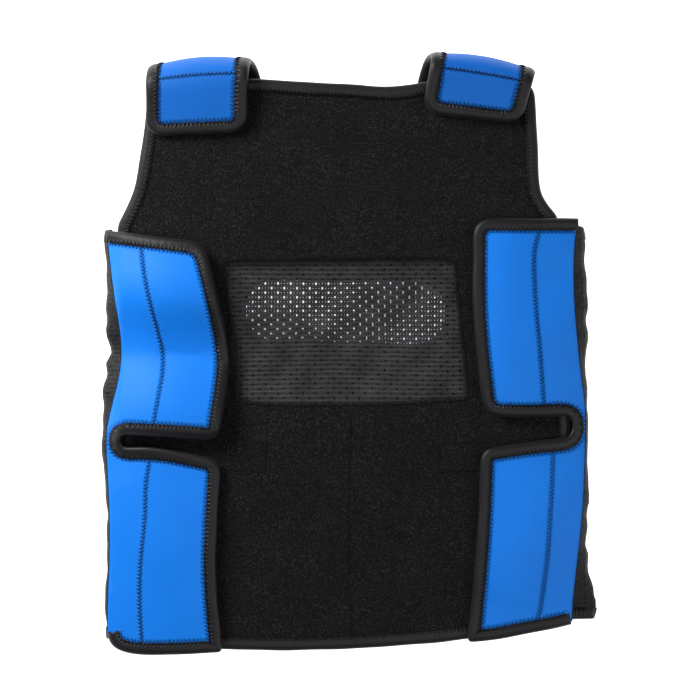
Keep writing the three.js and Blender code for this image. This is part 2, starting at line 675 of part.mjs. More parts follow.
// The back panel, its oval mesh window and the tapes on its neck, armholes and hem.
function buildBack() {
  const corner = (sideName, across) => {
    const spot = straps[sideName].point(across * strapWidth / 2, 0, 0);
    return { x: spot.x / vestWidth, y: (spot.y - clearance) / vestLength, round: 0 };
  };
  const armhole = (sideName) => [corner(sideName, sides[sideName].side), ...backArmholeRows[sideName]];
  const inset = 3 * bindingWall + edgeRelief;
  // The panel meets each strap along a straight seam.
  const seam = (sideName, across) => {
    const spot = straps[sideName].point(across * (strapWidth / 2 - inset), 0, 0);
    return new THREE.Vector2(spot.x, spot.y - clearance);
  };
  const edges = {
    back_neck_binding: [corner('left', -1), ...backNeckRows, corner('right', 1)],
    back_armhole_binding_right: armhole('right'),
    back_hem_binding: backHemRows,
    back_armhole_binding_left: armhole('left').reverse(),
  };
  const cut = {};
  for (const [name, rows] of Object.entries(edges)) {
    const path = edgePoints(rows);
    const binding = bindEdge(backPoint, path, 1, panelThickness);
    addPiece(name, binding.geometry, looks.tape);
    cut[name] = insetEdge(path, binding.stations, 1);
  }
  const outline = [
    seam('left', -1), ...cut.back_neck_binding.slice(1, -1), seam('right', 1),
    seam('right', -1), ...cut.back_armhole_binding_right.slice(1), ...cut.back_hem_binding,
    ...cut.back_armhole_binding_left.slice(0, -1), seam('left', 1),
  ];
  const window = new THREE.Path();
  const radius = backWindowHeight / 2;
  const half = backWindowLength / 2 - radius;
  const windowX = backWindowPlace.x * vestWidth;
  const windowY = backWindowPlace.y * vestLength;
  const stadium = (grow) => {
    const ring = new THREE.Path();
    ring.absarc(windowX + half, windowY, radius + grow, -Math.PI / 2, Math.PI / 2, false);
    ring.absarc(windowX - half, windowY, radius + grow, Math.PI / 2, 3 * Math.PI / 2, false);
    return ring.getPoints(10).slice(0, -1);
  };
  addPiece('back_panel', cutSheet(backPoint, 0, panelThickness, outline, [stadium(0)], backCell), looks.blueCloth);
  const netFoot = panelThickness + clearance;
  const net = cutSheet(backPoint, netFoot, netFoot + meshThickness, stadium(windowMargin), [], backCell);
  addPiece('back_mesh_window', net, looks.netCloth);
}

buildFront();
buildBack();
for (const sideName of ['right', 'left']) {
  buildWing(sideName);
  buildStrap(sideName);
  buildSide(sideName);
}

// The origin is under the middle of the vest, on the surface that it lies on.
const extent = new THREE.Box3().setFromObject(vest);
const middle = extent.getCenter(new THREE.Vector3());
vest.position.set(-middle.x, -middle.y, -extent.min.z);

export default vest;
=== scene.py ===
import math

import bpy
import numpy as np
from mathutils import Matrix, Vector, geometry


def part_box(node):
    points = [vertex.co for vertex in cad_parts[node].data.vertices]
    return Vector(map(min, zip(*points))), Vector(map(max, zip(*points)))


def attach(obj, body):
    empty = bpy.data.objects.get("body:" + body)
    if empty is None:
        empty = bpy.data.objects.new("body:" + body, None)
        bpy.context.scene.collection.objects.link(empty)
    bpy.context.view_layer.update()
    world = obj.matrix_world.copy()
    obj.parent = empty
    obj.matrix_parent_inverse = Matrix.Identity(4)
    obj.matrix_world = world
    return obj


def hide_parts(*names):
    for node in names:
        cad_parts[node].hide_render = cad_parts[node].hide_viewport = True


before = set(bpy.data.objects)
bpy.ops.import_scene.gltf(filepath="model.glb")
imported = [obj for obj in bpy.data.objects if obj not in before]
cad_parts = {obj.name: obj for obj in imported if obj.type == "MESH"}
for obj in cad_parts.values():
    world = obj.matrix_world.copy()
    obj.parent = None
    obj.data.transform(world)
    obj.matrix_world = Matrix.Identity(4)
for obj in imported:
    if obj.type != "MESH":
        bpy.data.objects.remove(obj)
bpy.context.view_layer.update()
rng = np.random.default_rng(8)

# overall sizes, as in the solids
vest = {"width": 371.0, "length": 450.0, "loft": 42.0, "backWidth": 296.0, "backHem": 0.022, "backTop": 0.865}
cloth = {"panel": 3.0, "tape": 0.8, "tapeWidth": 9.0, "clearance": 0.4, "cornerCut": 11.0}
cutInset = 3.4  # a panel's cut edge, inside the fold of its binding
foldOut = cloth["clearance"] + cloth["tape"]
wingLift = cloth["panel"] + 2 * foldOut + cloth["clearance"]
backCurl = foldOut + 0.3
soft = 9.0  # a bend that reaches half way to each neighbour

# where the vest's own frame lies in the solids' frame
hemLow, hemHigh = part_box("back_hem_binding")
_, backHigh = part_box("back_panel")
frameShift = np.array([
    500 * (hemLow[0] + hemHigh[0]),
    1000 * backHigh[1] - (vest["backTop"] * vest["length"] - cloth["clearance"]),
    0.0,
])


def table(columns, lines):
    return dict(zip(columns, np.array(lines, float).T))


outlineColumns = ["x", "y", "round"]
outlines = {
    "front": table(outlineColumns, [
        [-0.407, 0.955, 1], [-0.175, 0.955, soft], [-0.090, 0.948, soft], [0.000, 0.946, soft],
        [0.075, 0.940, soft], [0.125, 0.944, soft], [0.160, 0.951, soft], [0.250, 0.954, soft],
        [0.373, 0.948, 1], [0.377, 0.890, soft], [0.381, 0.850, soft], [0.382, 0.785, soft],
        [0.390, 0.755, soft], [0.425, 0.723, 0.6], [0.425, 0.670, soft], [0.425, 0.610, soft],
        [0.431, 0.522, soft], [0.441, 0.438, soft], [0.449, 0.355, soft], [0.445, 0.255, soft],
        [0.433, 0.155, soft], [0.429, 0.050, 1], [0.245, 0.024, soft], [0.090, 0.012, soft],
        [-0.090, 0.005, soft], [-0.256, 0.007, soft], [-0.458, 0.014, 1], [-0.454, 0.100, soft],
        [-0.454, 0.200, soft], [-0.462, 0.347, soft], [-0.454, 0.390, soft], [-0.431, 0.455, soft],
        [-0.428, 0.505, soft], [-0.447, 0.588, soft], [-0.458, 0.670, soft], [-0.470, 0.708, 0.6],
        [-0.447, 0.743, soft], [-0.429, 0.782, soft], [-0.419, 0.835, soft], [-0.408, 0.900, soft],
    ]),
    "window": table(outlineColumns, [
        [-0.249, 0.648, 0.3], [-0.020, 0.652, soft], [0.207, 0.653, 0.3], [0.213, 0.600, soft],
        [0.235, 0.427, 0.3], [0.165, 0.422, soft], [0.009, 0.417, soft], [-0.146, 0.417, soft],
        [-0.223, 0.423, 0.3], [-0.221, 0.497, soft], [-0.241, 0.593, soft],
    ]),
    "wingRight": table(outlineColumns, [
        [-0.486, 0.703, 0], [-0.290, 0.682, 1.1], [-0.266, 0.613, soft], [-0.241, 0.513, soft],
        [-0.239, 0.463, soft], [-0.260, 0.355, 1], [-0.361, 0.361, soft], [-0.458, 0.365, 0.55],
        [-0.458, 0.343, 0.55], [-0.393, 0.344, soft], [-0.330, 0.336, soft], [-0.256, 0.322, 1],
        [-0.263, 0.222, soft], [-0.268, 0.138, soft], [-0.254, 0.003, 0.4], [-0.371, -0.002, soft],
        [-0.432, -0.002, soft], [-0.466, 0.004, soft], [-0.483, 0.016, soft], [-0.487, 0.032, 0],
    ]),
    "wingLeft": table(outlineColumns, [
        [0.462, 0.723, 0], [0.249, 0.722, 1.4], [0.247, 0.588, soft], [0.252, 0.522, soft],
        [0.260, 0.462, soft], [0.270, 0.395, 1.3], [0.342, 0.393, soft], [0.403, 0.394, soft],
        [0.449, 0.396, 0.8], [0.449, 0.359, 0.8], [0.373, 0.354, soft], [0.314, 0.347, soft],
        [0.264, 0.340, 1.1], [0.262, 0.282, soft], [0.258, 0.205, soft], [0.249, 0.113, soft],
        [0.238, 0.020, 0.4], [0.286, 0.022, soft], [0.346, 0.032, soft], [0.403, 0.040, soft],
        [0.449, 0.048, 0],
    ]),
    "seamRight": table(outlineColumns, [
        [-0.487, 0.032, 0], [-0.487, 0.088, soft], [-0.482, 0.162, soft], [-0.482, 0.242, soft],
        [-0.488, 0.322, soft], [-0.489, 0.355, soft], [-0.486, 0.382, soft], [-0.473, 0.422, soft],
        [-0.461, 0.462, soft], [-0.457, 0.502, soft], [-0.461, 0.542, soft], [-0.469, 0.582, soft],
        [-0.483, 0.662, soft], [-0.486, 0.703, 0],
    ]),
    "seamLeft": table(outlineColumns, [
        [0.449, 0.048, 0], [0.450, 0.082, soft], [0.458, 0.142, soft], [0.469, 0.222, soft],
        [0.474, 0.290, soft], [0.477, 0.382, soft], [0.475, 0.422, soft], [0.467, 0.462, soft],
        [0.457, 0.542, soft], [0.452, 0.605, soft], [0.453, 0.680, soft], [0.462, 0.723, 0],
    ]),
    "backHem": table(outlineColumns, [
        [-0.399, 0.022, 0], [-0.200, 0.020, soft], [0.000, 0.022, soft], [0.220, 0.038, soft],
        [0.399, 0.062, 0],
    ]),
}
bulges = {
    "Right": table(["y", "x"], [
        [0.022, -0.489], [0.082, -0.493], [0.142, -0.490], [0.222, -0.489], [0.282, -0.493],
        [0.335, -0.499], [0.402, -0.497], [0.442, -0.495], [0.462, -0.488], [0.482, -0.491],
        [0.502, -0.481], [0.542, -0.491], [0.602, -0.488], [0.662, -0.494], [0.690, -0.491],
    ]),
    "Left": table(["y", "x"], [
        [0.056, 0.494], [0.080, 0.498], [0.105, 0.494], [0.128, 0.487], [0.162, 0.483],
        [0.182, 0.478], [0.222, 0.483], [0.282, 0.485], [0.342, 0.482], [0.372, 0.485],
        [0.442, 0.481], [0.482, 0.478], [0.502, 0.481], [0.582, 0.481], [0.662, 0.477],
        [0.700, 0.471],
    ]),
}
strapColumns = ["x", "y", "lift", "turn", "width"]
strapRows = {
    "Right": table(strapColumns, [
        [-0.266, 0.865, 0.00, 0, 1.02], [-0.268, 0.902, 0.01, 1, 1.02], [-0.275, 0.943, 0.09, 2, 1.03],
        [-0.289, 0.973, 0.36, 3, 1.05], [-0.300, 0.979, 0.72, 4, 1.06], [-0.303, 0.961, 1.01, 4, 1.06],
        [-0.305, 0.920, 1.05, 3, 1.05], [-0.306, 0.862, 1.00, 2, 1.05],
    ]),
    "Left": table(strapColumns, [
        [0.228, 0.865, 0.00, 0, 1.02], [0.231, 0.900, 0.01, -2, 1.02], [0.239, 0.940, 0.09, -6, 1.04],
        [0.255, 0.974, 0.36, -9, 1.07], [0.269, 0.981, 0.72, -9, 1.08], [0.267, 0.969, 0.99, -9, 1.08],
        [0.259, 0.938, 1.04, -8, 1.06], [0.246, 0.888, 1.00, -6, 1.03],
    ]),
}
loftRows = table(["y", "middle", "broad", "edge"], [
    [0.00, 0.80, 0.24, 0.30], [0.25, 0.94, 0.21, 0.33], [0.50, 1.00, 0.20, 0.35],
    [0.75, 1.00, 0.22, 0.33], [1.00, 0.90, 0.25, 0.20],
])
# humps where a wing stands off the chest: place and spread as shares, rise as a share of the loft
wingHumps = table(["x", "y", "spreadX", "spreadY", "rise"], [
    [-0.385, 0.605, 0.095, 0.090, 0.09], [-0.370, 0.420, 0.095, 0.075, 0.08],
    [-0.380, 0.170, 0.100, 0.120, 0.07], [0.360, 0.560, 0.095, 0.120, 0.08],
    [0.370, 0.190, 0.100, 0.100, 0.07],
])
print("tables ready")


# a smooth curve through one column of a table, read against another column or against the row number
def columnCurve(rows, column, along=None):
    values = rows[column]
    places = rows[along] if along else np.arange(len(values), dtype=float)
    slopes = np.empty(len(values))
    slopes[1:-1] = (values[2:] - values[:-2]) / (places[2:] - places[:-2])
    slopes[0] = (values[1] - values[0]) / (places[1] - places[0])
    slopes[-1] = (values[-1] - values[-2]) / (places[-1] - places[-2])

    def read(at):
        at = np.clip(np.asarray(at, float), places[0], places[-1])
        i = np.clip(np.searchsorted(places, at, side="right") - 1, 0, len(places) - 2)
        span = places[i + 1] - places[i]
        t = (at - places[i]) / span
        return (
            values[i]
            + (values[i + 1] - values[i]) * t * t * (3 - 2 * t)
            + span * (slopes[i] * t * (1 - t) ** 2 - slopes[i + 1] * t * t * (1 - t))
        )

    return read


middleLoft = columnCurve(loftRows, "middle", "y")
broadFall = columnCurve(loftRows, "broad", "y")
edgeFall = columnCurve(loftRows, "edge", "y")


def smoothstep(value, low, high):
    t = np.clip((value - low) / (high - low), 0, 1)
    return t * t * (3 - 2 * t)


# soft ripples of a cloth that has been folded and laid out: a few long waves, in millimetres
rippleWaves = [(rng.uniform(0, math.tau), rng.uniform(60, 150), rng.uniform(0, math.tau)) for _ in range(7)]


def ripple(x, y):
    total = np.zeros(np.broadcast(x, y).shape)
    for heading, length, phase in rippleWaves:
        total = total + np.sin((x * math.cos(heading) + y * math.sin(heading)) * math.tau / length + phase)
    return total / len(rippleWaves)


def chestHeight(x, y):
    side = np.abs(x) / (vest["width"] / 2)
    along = y / vest["length"]
    fall = broadFall(along) * side ** 2.5 + edgeFall(along) * side ** 6
    return vest["loft"] * middleLoft(along) * (1 - fall)


frontLook = {"ripple": 0.9, "grid": 2.8, "windowSeam": 2.2}


# a layer at a height off the front panel's inner face
def chestSurface(x, y, height):
    slopeX = (chestHeight(x + 1, y) - chestHeight(x - 1, y)) / 2
    slopeY = (chestHeight(x, y + 1) - chestHeight(x, y - 1)) / 2
    z = chestHeight(x, y) + height * np.sqrt(1 + slopeX ** 2 + slopeY ** 2)
    return np.stack(np.broadcast_arrays(x, y, z + frontLook["ripple"] * ripple(x, y)), -1)


# folds pressed into the wings: a line from (x0, y0) to (x1, y1) in shares, how far it dips, how far the dip
# reaches above and below the line, in millimetres, and whether it is a sharp crease or a soft wave
wingFolds = table(["x0", "y0", "x1", "y1", "depth", "above", "below", "sharp"], [
    [-0.475, 0.507, -0.235, 0.499, 3.2, 30, 16, 0],
    [-0.372, 0.499, -0.235, 0.489, 2.3, 11, 6, 1],
    [-0.470, 0.600, -0.260, 0.595, -9.5, 38, 28, 0],
    [-0.470, 0.375, -0.250, 0.375, -9.0, 36, 12, 0],
    [-0.440, 0.300, -0.300, 0.060, -1.8, 30, 30, 0],
    [0.440, 0.640, 0.300, 0.540, 1.3, 18, 18, 0],
    [0.320, 0.700, 0.310, 0.430, -1.6, 16, 16, 0],
    [0.430, 0.300, 0.300, 0.100, -1.6, 26, 26, 0],
])


def wingShape(x, y):
    rise = np.zeros(np.broadcast(x, y).shape)
    for humpX, humpY, spreadX, spreadY, share in zip(*wingHumps.values()):
        across = (x / vest["width"] - humpX) / spreadX
        along = (y / vest["length"] - humpY) / spreadY
        rise = rise + share * vest["loft"] * np.exp(-across ** 2 - along ** 2)
    for x0, y0, x1, y1, depth, above, below, sharp in zip(*wingFolds.values()):
        start = np.array([x0 * vest["width"], y0 * vest["length"]])
        run = np.array([x1 * vest["width"], y1 * vest["length"]]) - start
        length = np.linalg.norm(run)
        run = run / length
        share = ((x - start[0]) * run[0] + (y - start[1]) * run[1]) / length
        off = (x - start[0]) * -run[1] + (y - start[1]) * run[0]
        off = off * np.sign(run[0]) if abs(run[0]) > 0.3 else off
        off = off / np.where(off > 0, above, below)
        fade = np.exp(-np.clip(np.abs(share - 0.5) - 0.42, 0, None) ** 2 / 0.02)
        dip = np.exp(-np.sqrt(off ** 2 + 0.004)) if sharp else np.exp(-off ** 2)
        rise = rise - depth * fade * dip
    return rise


wingLook = {"deepestDip": 2.2, "grid": 2.2}


def wingSurface(x, y, height):
    return chestSurface(x, y, wingLift + np.maximum(wingShape(x, y), -wingLook["deepestDip"]) + height)


backMiddleY = (vest["backHem"] + vest["backTop"]) / 2 * vest["length"]
backHalfLength = (vest["backTop"] - vest["backHem"]) / 2 * vest["length"]


def backHeight(x, y):
    across = np.abs(x / (vest["backWidth"] / 2)) ** 4
    along = np.abs((y - backMiddleY) / backHalfLength) ** 4
    return backCurl * smoothstep((across + along) ** 0.25, 0.5, 0.88)


def backSurface(x, y, height):
    return np.stack(np.broadcast_arrays(x, y, backHeight(x, y) + height), -1)


# a smooth line through points: the place and the row number at even steps
def smoothLine(points, steps=40):
    points = np.asarray(points, float)
    padded = np.vstack([2 * points[0] - points[1], points, 2 * points[-1] - points[-2]])
    t = np.linspace(0, 1, steps, endpoint=False)[:, None]
    places, rows = [], []
    for i in range(len(points) - 1):
        p0, p1, p2, p3 = padded[i:i + 4]
        d0, d1, d2 = [max(np.linalg.norm(b - a) ** 0.5, 1e-4) for a, b in ((p0, p1), (p1, p2), (p2, p3))]
        m1 = ((p1 - p0) / d0 - (p2 - p0) / (d0 + d1) + (p2 - p1) / d1) * d1
        m2 = ((p2 - p1) / d1 - (p3 - p1) / (d1 + d2) + (p3 - p2) / d2) * d1
        places.append(
            p1 + m1 * t + (-3 * p1 + 3 * p2 - 2 * m1 - m2) * t ** 2 + (2 * p1 - 2 * p2 + m1 + m2) * t ** 3
        )
        rows.append(i + t[:, 0])
    places.append(points[-1:])
    rows.append([len(points) - 1])
    return np.vstack(places), np.concatenate(rows)


def runLengths(points):
    steps = np.linalg.norm(np.diff(points, axis=0), axis=1)
    return np.concatenate([[0], np.cumsum(steps)])


def evenPoints(points, count):
    runs = runLengths(points)
    even = np.linspace(0, runs[-1], count)
    return np.column_stack([np.interp(even, runs, column) for column in points.T])


def flatPoints(rows):
    return np.column_stack([rows["x"] * vest["width"], rows["y"] * vest["length"]])


# the straps' cut, in millimetres, how far a fold's crown rises, and how far the fold is puffed up
strapLook = {
    "halfWidth": 36.0, "corner": 13.0, "step": 1.5, "crown": 3.2, "puff": 0.15, "grid": 1.9,
    "seamFromEnd": {"Right": 42.0, "Left": 33.0}, "seamWidth": 1.8, "seamThread": 0.00026,
}


# a strap's surface: across its width, along it from the back seam, and out from its inner face
def makeStrapSurface(rows):
    middles = np.column_stack([
        rows["x"] * vest["width"],
        rows["y"] * vest["length"],
        rows["lift"] * (vest["loft"] + wingLift),
    ])
    line, numbers = smoothLine(middles)
    runs = runLengths(line)
    turnAt = columnCurve(rows, "turn")
    widthAt = columnCurve(rows, "width")

    def face(across, along):
        along = np.clip(along, 0, runs[-1])
        number = np.interp(along, runs, numbers)
        turn = np.radians(turnAt(number))
        reach = across * widthAt(number)
        fold = np.exp(-((number - 3.8) / 1.3) ** 2)
        crown = strapLook["crown"] * fold * (0.8 - 1.6 * (across / strapLook["halfWidth"]) ** 2)
        x = np.interp(along, runs, line[:, 0]) + reach * np.cos(turn)
        y = np.interp(along, runs, line[:, 1]) + reach * np.sin(turn) + crown
        lift = np.maximum(np.interp(along, runs, line[:, 2]) / (vest["loft"] + wingLift), 0)
        lift = lift + strapLook["puff"] * np.exp(-((number - 5.2) / 1.1) ** 2)
        low = backHeight(x, y) + cloth["panel"]
        high = chestSurface(x, y, wingLift)[..., 2]
        return np.stack(np.broadcast_arrays(x, y, low * (1 - lift) + high * lift), -1)

    def surface(across, along, height):
        across, along, height = np.broadcast_arrays(across, along, height)
        sideways = face(across + 1, along) - face(across - 1, along)
        onward = face(across, along + 1) - face(across, along - 1)
        normal = np.cross(onward, sideways)
        normal /= np.linalg.norm(normal, axis=-1, keepdims=True)
        return face(across, along) + normal * height[..., None]

    return surface, runs[-1]


# a path along the rows of an outline, its corners rounded, as points an even step apart
def edgePath(rows, closed=False, step=1.5):
    corners = flatPoints(rows)
    count = len(corners)
    t = np.linspace(0, 1, 14)[:, None]
    pieces = []
    for i in range(count):
        corner = corners[i]
        if not closed and i in (0, count - 1):
            pieces.append(corner[None])
            continue
        ends = []
        for other in (corners[i - 1], corners[(i + 1) % count]):
            away = np.linalg.norm(other - corner)
            reach = min(rows["round"][i] * cloth["cornerCut"], away / 2)
            ends.append(corner + (other - corner) * reach / away)
        pieces.append((1 - t) ** 2 * ends[0] + 2 * t * (1 - t) * corner + t ** 2 * ends[1])
    points = np.vstack(pieces)
    if closed:
        points = np.vstack([points, points[:1]])
    smooth = evenPoints(points, int(round(runLengths(points)[-1] / step)) + 1)
    return smooth[:-1] if closed else smooth


def area(points):
    x, y = points.T
    return 0.5 * np.sum(x * np.roll(y, -1) - y * np.roll(x, -1))


# directions square to a path, on its left, eased along it so that a tape puckers round a corner
def leftNormals(points, closed, ease=4):
    if closed:
        along = np.roll(points, -1, axis=0) - np.roll(points, 1, axis=0)
    else:
        along = np.gradient(points, axis=0)
    normals = np.column_stack([-along[:, 1], along[:, 0]])
    normals /= np.linalg.norm(normals, axis=1, keepdims=True)
    for _ in range(2):
        if closed:
            wide = np.vstack([normals[-ease:], normals, normals[:ease]])
        else:
            wide = np.vstack([np.repeat(normals[:1], ease, 0), normals, np.repeat(normals[-1:], ease, 0)])
        window = np.ones(2 * ease + 1) / (2 * ease + 1)
        normals = np.column_stack([np.convolve(wide[:, axis], window, "valid") for axis in (0, 1)])
        normals /= np.linalg.norm(normals, axis=1, keepdims=True)
    return normals


def insideOutline(points, outline):
    x, y = points[:, 0][:, None], points[:, 1][:, None]
    x0, y0 = outline[:, 0], outline[:, 1]
    x1, y1 = np.roll(x0, -1), np.roll(y0, -1)
    inside = np.zeros(len(points), bool)
    for start in range(0, len(points), 4000):
        part = slice(start, start + 4000)
        crosses = (y0 > y[part]) != (y1 > y[part])
        edgeX = x0 + (y[part] - y0) * (x1 - x0) / np.where(y1 == y0, 1e-12, y1 - y0)
        inside[part] = (crosses & (x[part] < edgeX)).sum(axis=1) % 2 == 1
    return inside


def distanceTo(points, outline):
    nearest = np.empty(len(points))
    for start in range(0, len(points), 2000):
        part = points[start:start + 2000]
        nearest[start:start + 2000] = np.sqrt(((part[:, None] - outline[None]) ** 2).sum(-1).min(axis=1))
    return nearest


# splits a closed outline's long edges, so that its points are no further apart than a cell
def splitEdges(outline, cell):
    points = []
    for a, b in zip(outline, np.roll(outline, -1, axis=0)):
        steps = max(int(math.ceil(np.linalg.norm(b - a) / cell - 0.05)), 1)
        if np.linalg.norm(b - a) > 0.05:
            points += [a + (b - a) * i / steps for i in range(steps)]
    return np.array(points)


# the flat cut of a cloth: an even grid in the middle, joined by triangles to its outline and holes
def flatCut(outline, holes, cell):
    outline = splitEdges(outline, cell)
    loops = [outline if area(outline) > 0 else outline[::-1]]
    loops += [hole if area(hole) < 0 else hole[::-1] for hole in holes]
    low = loops[0].min(axis=0)
    counts = np.ceil((loops[0].max(axis=0) - low) / cell).astype(int) + 1
    gridX, gridY = np.meshgrid(np.arange(counts[0]), np.arange(counts[1]), indexing="ij")
    grid = low + np.column_stack([gridX.ravel(), gridY.ravel()]) * cell
    edges = np.vstack(loops)
    use = insideOutline(grid, loops[0]) & (distanceTo(grid, edges) > 0.6 * cell)
    for hole in loops[1:]:
        use &= ~insideOutline(grid, hole)
    use = use.reshape(counts)
    kept = use[:-1, :-1] & use[1:, :-1] & use[1:, 1:] & use[:-1, 1:]
    numbers = np.full(counts, -1)
    touched = np.zeros(counts, bool)
    for dx in (0, 1):
        for dy in (0, 1):
            touched[dx:counts[0] - 1 + dx, dy:counts[1] - 1 + dy] |= kept
    numbers[touched] = len(edges) + np.arange(touched.sum())
    points = np.vstack([edges, grid.reshape(*counts, 2)[touched]])
    i, j = np.nonzero(kept)
    quads = np.column_stack([numbers[i, j], numbers[i + 1, j], numbers[i + 1, j + 1], numbers[i, j + 1]])
    # the grid's own rim, then the band between it and the outlines
    sides = np.vstack([quads[:, [a, (a + 1) % 4]] for a in range(4)])
    ordered = np.sort(sides, axis=1)
    _, first, uses = np.unique(ordered, axis=0, return_index=True, return_counts=True)
    rim = ordered[first[uses == 1]]
    band = [np.arange(len(edges)), np.unique(rim)]
    members = np.concatenate(band).astype(int)
    local = {int(member): place for place, member in enumerate(members)}
    links, start = [], 0
    for loop in loops:
        links += [(start + a, start + (a + 1) % len(loop)) for a in range(len(loop))]
        start += len(loop)
    links += [(local[int(a)], local[int(b)]) for a, b in rim]
    flat = [Vector((points[m] - low) / cell) for m in members]
    _, _, faces, origins, _, _ = geometry.delaunay_2d_cdt(flat, links, [], 0, 1e-6)
    source = [int(members[origin[0]]) for origin in origins]
    triangles = np.array([[source[v] for v in face] for face in faces])
    # triangles that meet across an edge that isn't a rim are one region, kept or dropped by its largest one
    fixed = {tuple(sorted((int(members[a]), int(members[b])))) for a, b in links}
    owner = list(range(len(triangles)))

    def region(i):
        while owner[i] != i:
            owner[i] = owner[owner[i]]
            i = owner[i]
        return i

    seen = {}
    for number, (a, b, c) in enumerate(triangles.tolist()):
        for edge in ((min(a, b), max(a, b)), (min(b, c), max(b, c)), (min(c, a), max(c, a))):
            if edge in fixed:
                continue
            if edge in seen:
                owner[region(number)] = region(seen.pop(edge))
            else:
                seen[edge] = number
    beyond = {region(number) for number in seen.values()}
    regions = np.array([region(i) for i in range(len(triangles))])
    a, b, c = points[triangles[:, 0]], points[triangles[:, 1]], points[triangles[:, 2]]
    sizes = np.abs((b - a)[:, 0] * (c - a)[:, 1] - (b - a)[:, 1] * (c - a)[:, 0])
    largest = {int(r): np.nonzero(regions == r)[0][sizes[regions == r].argmax()] for r in np.unique(regions)}
    tested = np.array(list(largest.values()))
    centres = points[triangles[tested]].mean(axis=1)
    good = insideOutline(centres, loops[0])
    for hole in loops[1:]:
        good &= ~insideOutline(centres, hole)
    cells = np.floor((centres - low) / cell).astype(int)
    within = (cells >= 0).all(axis=1) & (cells < np.array(kept.shape)).all(axis=1)
    cells = np.clip(cells, 0, np.array(kept.shape) - 1)
    good &= ~(within & kept[cells[:, 0], cells[:, 1]])
    wanted = {r for r, ok in zip(largest, good) if ok} - beyond
    triangles = triangles[[int(r) in wanted for r in regions]]
    a, b, c = points[triangles[:, 0]], points[triangles[:, 1]], points[triangles[:, 2]]
    turned = (b - a)[:, 0] * (c - a)[:, 1] - (b - a)[:, 1] * (c - a)[:, 0] < 0
    triangles[turned] = triangles[turned][:, ::-1]
    return points, [list(q) for q in quads] + [list(t) for t in triangles], [len(loop) for loop in loops]


def toFrame(points):
    return (np.asarray(points, float) + frameShift) * 0.001


def newPiece(name, points, faces, materials, slots=None, flat=None):
    mesh = bpy.data.meshes.new(name)
    mesh.from_pydata(points.tolist(), [], faces)
    for material in materials:
        mesh.materials.append(material)
    if slots is not None:
        mesh.polygons.foreach_set("material_index", slots)
    mesh.polygons.foreach_set("use_smooth", [True] * len(mesh.polygons))
    if flat is not None:
        layer = mesh.uv_layers.new(name="flatMap")
        corners = np.empty(len(mesh.loops), int)
        mesh.loops.foreach_get("vertex_index", corners)
        layer.data.foreach_set("uv", (flat[corners] * 0.01).ravel())
    mesh.validate()
    piece = bpy.data.objects.new(name, mesh)
    bpy.context.scene.collection.objects.link(piece)
    return piece


# a panel of cloth: the cut laid on a surface, with an outer face, an inner face and a cut edge
def makeCloth(name, outline, holes, surface, low, high, cell, outer, inner):
    points, faces, loopSizes = flatCut(outline, holes, cell)
    count = len(points)
    top = surface(points[:, 0], points[:, 1], high)
    under = surface(points[:, 0], points[:, 1], low)
    allFaces = list(faces) + [[v + count for v in face[::-1]] for face in faces]
    slots = [0] * len(faces) + [1] * len(faces)
    start = 0
    for size in loopSizes:
        for a in range(size):
            b = (a + 1) % size
            allFaces.append([start + a + count, start + b + count, start + b, start + a])
            slots.append(1)
        start += size
    return newPiece(
        name, toFrame(np.vstack([top, under])), allFaces, [outer, inner], slots, np.vstack([points, points])
    )


# faces that join rings of a section into a tube, capped where it is open
def tubeFaces(size, count, closed=False):
    faces = []
    for i in range(count if closed else count - 1):
        here, there = i * size, (i + 1) % count * size
        for j in range(size):
            k = (j + 1) % size
            faces.append([here + j, here + k, there + k, there + j])
    if not closed:
        faces.append(list(range(size))[::-1])
        faces.append([(count - 1) * size + j for j in range(size)])
    return faces


# a folded tape: rings of its section along a path, with small puckers where the stitches pull it in
tapeLook = {"pucker": 0.14, "puckerLength": 5.4, "swell": 0.22, "swellLength": 46.0}


def makeTape(name, path, surface, turn, clothThickness, material, closed=False):
    half = clothThickness / 2
    reach = half + foldOut
    width = cloth["tapeWidth"]
    upper = [
        (width, half + 0.1), (width + 0.05, half + 0.4), (width - 0.7, half + 0.68),
        (width - 2.6, half + 0.95), (width - 4.6, reach + 0.12), (3.0, reach + 0.05),
        (1.7, reach - 0.35), (0.7, 0.62 * reach), (0.15, 0.3 * reach),
    ]
    section = upper + [(0.0, 0.0)] + [(inset, -height) for inset, height in upper[::-1]]
    section += [(width - 1.5, -half - 0.12), (2.9, -half - 0.1), (2.4, 0.0)]
    section += [(2.9, half + 0.1), (width - 1.5, half + 0.12)]
    section = np.array(section)
    normals = leftNormals(path, closed)
    runs = np.arange(len(path)) * np.linalg.norm(path[1] - path[0])
    pucker = np.sin(runs * math.tau / tapeLook["puckerLength"] + 2 * np.sin(runs / 17))
    swell = np.sin(runs * math.tau / tapeLook["swellLength"]) * np.sin(runs / 31 + 1)
    rings = []
    for inset, height in section:
        outer = min(max(inset / width, 0), 1)
        shift = inset + tapeLook["pucker"] * pucker * outer - tapeLook["swell"] * swell * (1 - outer)
        lift = height * (1 + 0.05 * pucker * outer + 0.05 * swell)
        spot = path + normals * (turn * shift)[:, None]
        rings.append(surface(spot[:, 0], spot[:, 1], half + lift))
    points = np.stack(rings, axis=1).reshape(-1, 3)
    faces = tubeFaces(len(section), len(path), closed)
    across = np.concatenate([[0], np.cumsum(np.linalg.norm(np.diff(section, axis=0), axis=1))])
    flat = np.stack(np.meshgrid(runs, across, indexing="ij"), -1).reshape(-1, 2)
    piece = newPiece(name, toFrame(points), faces, [material], None, flat)
    return outwards(piece)


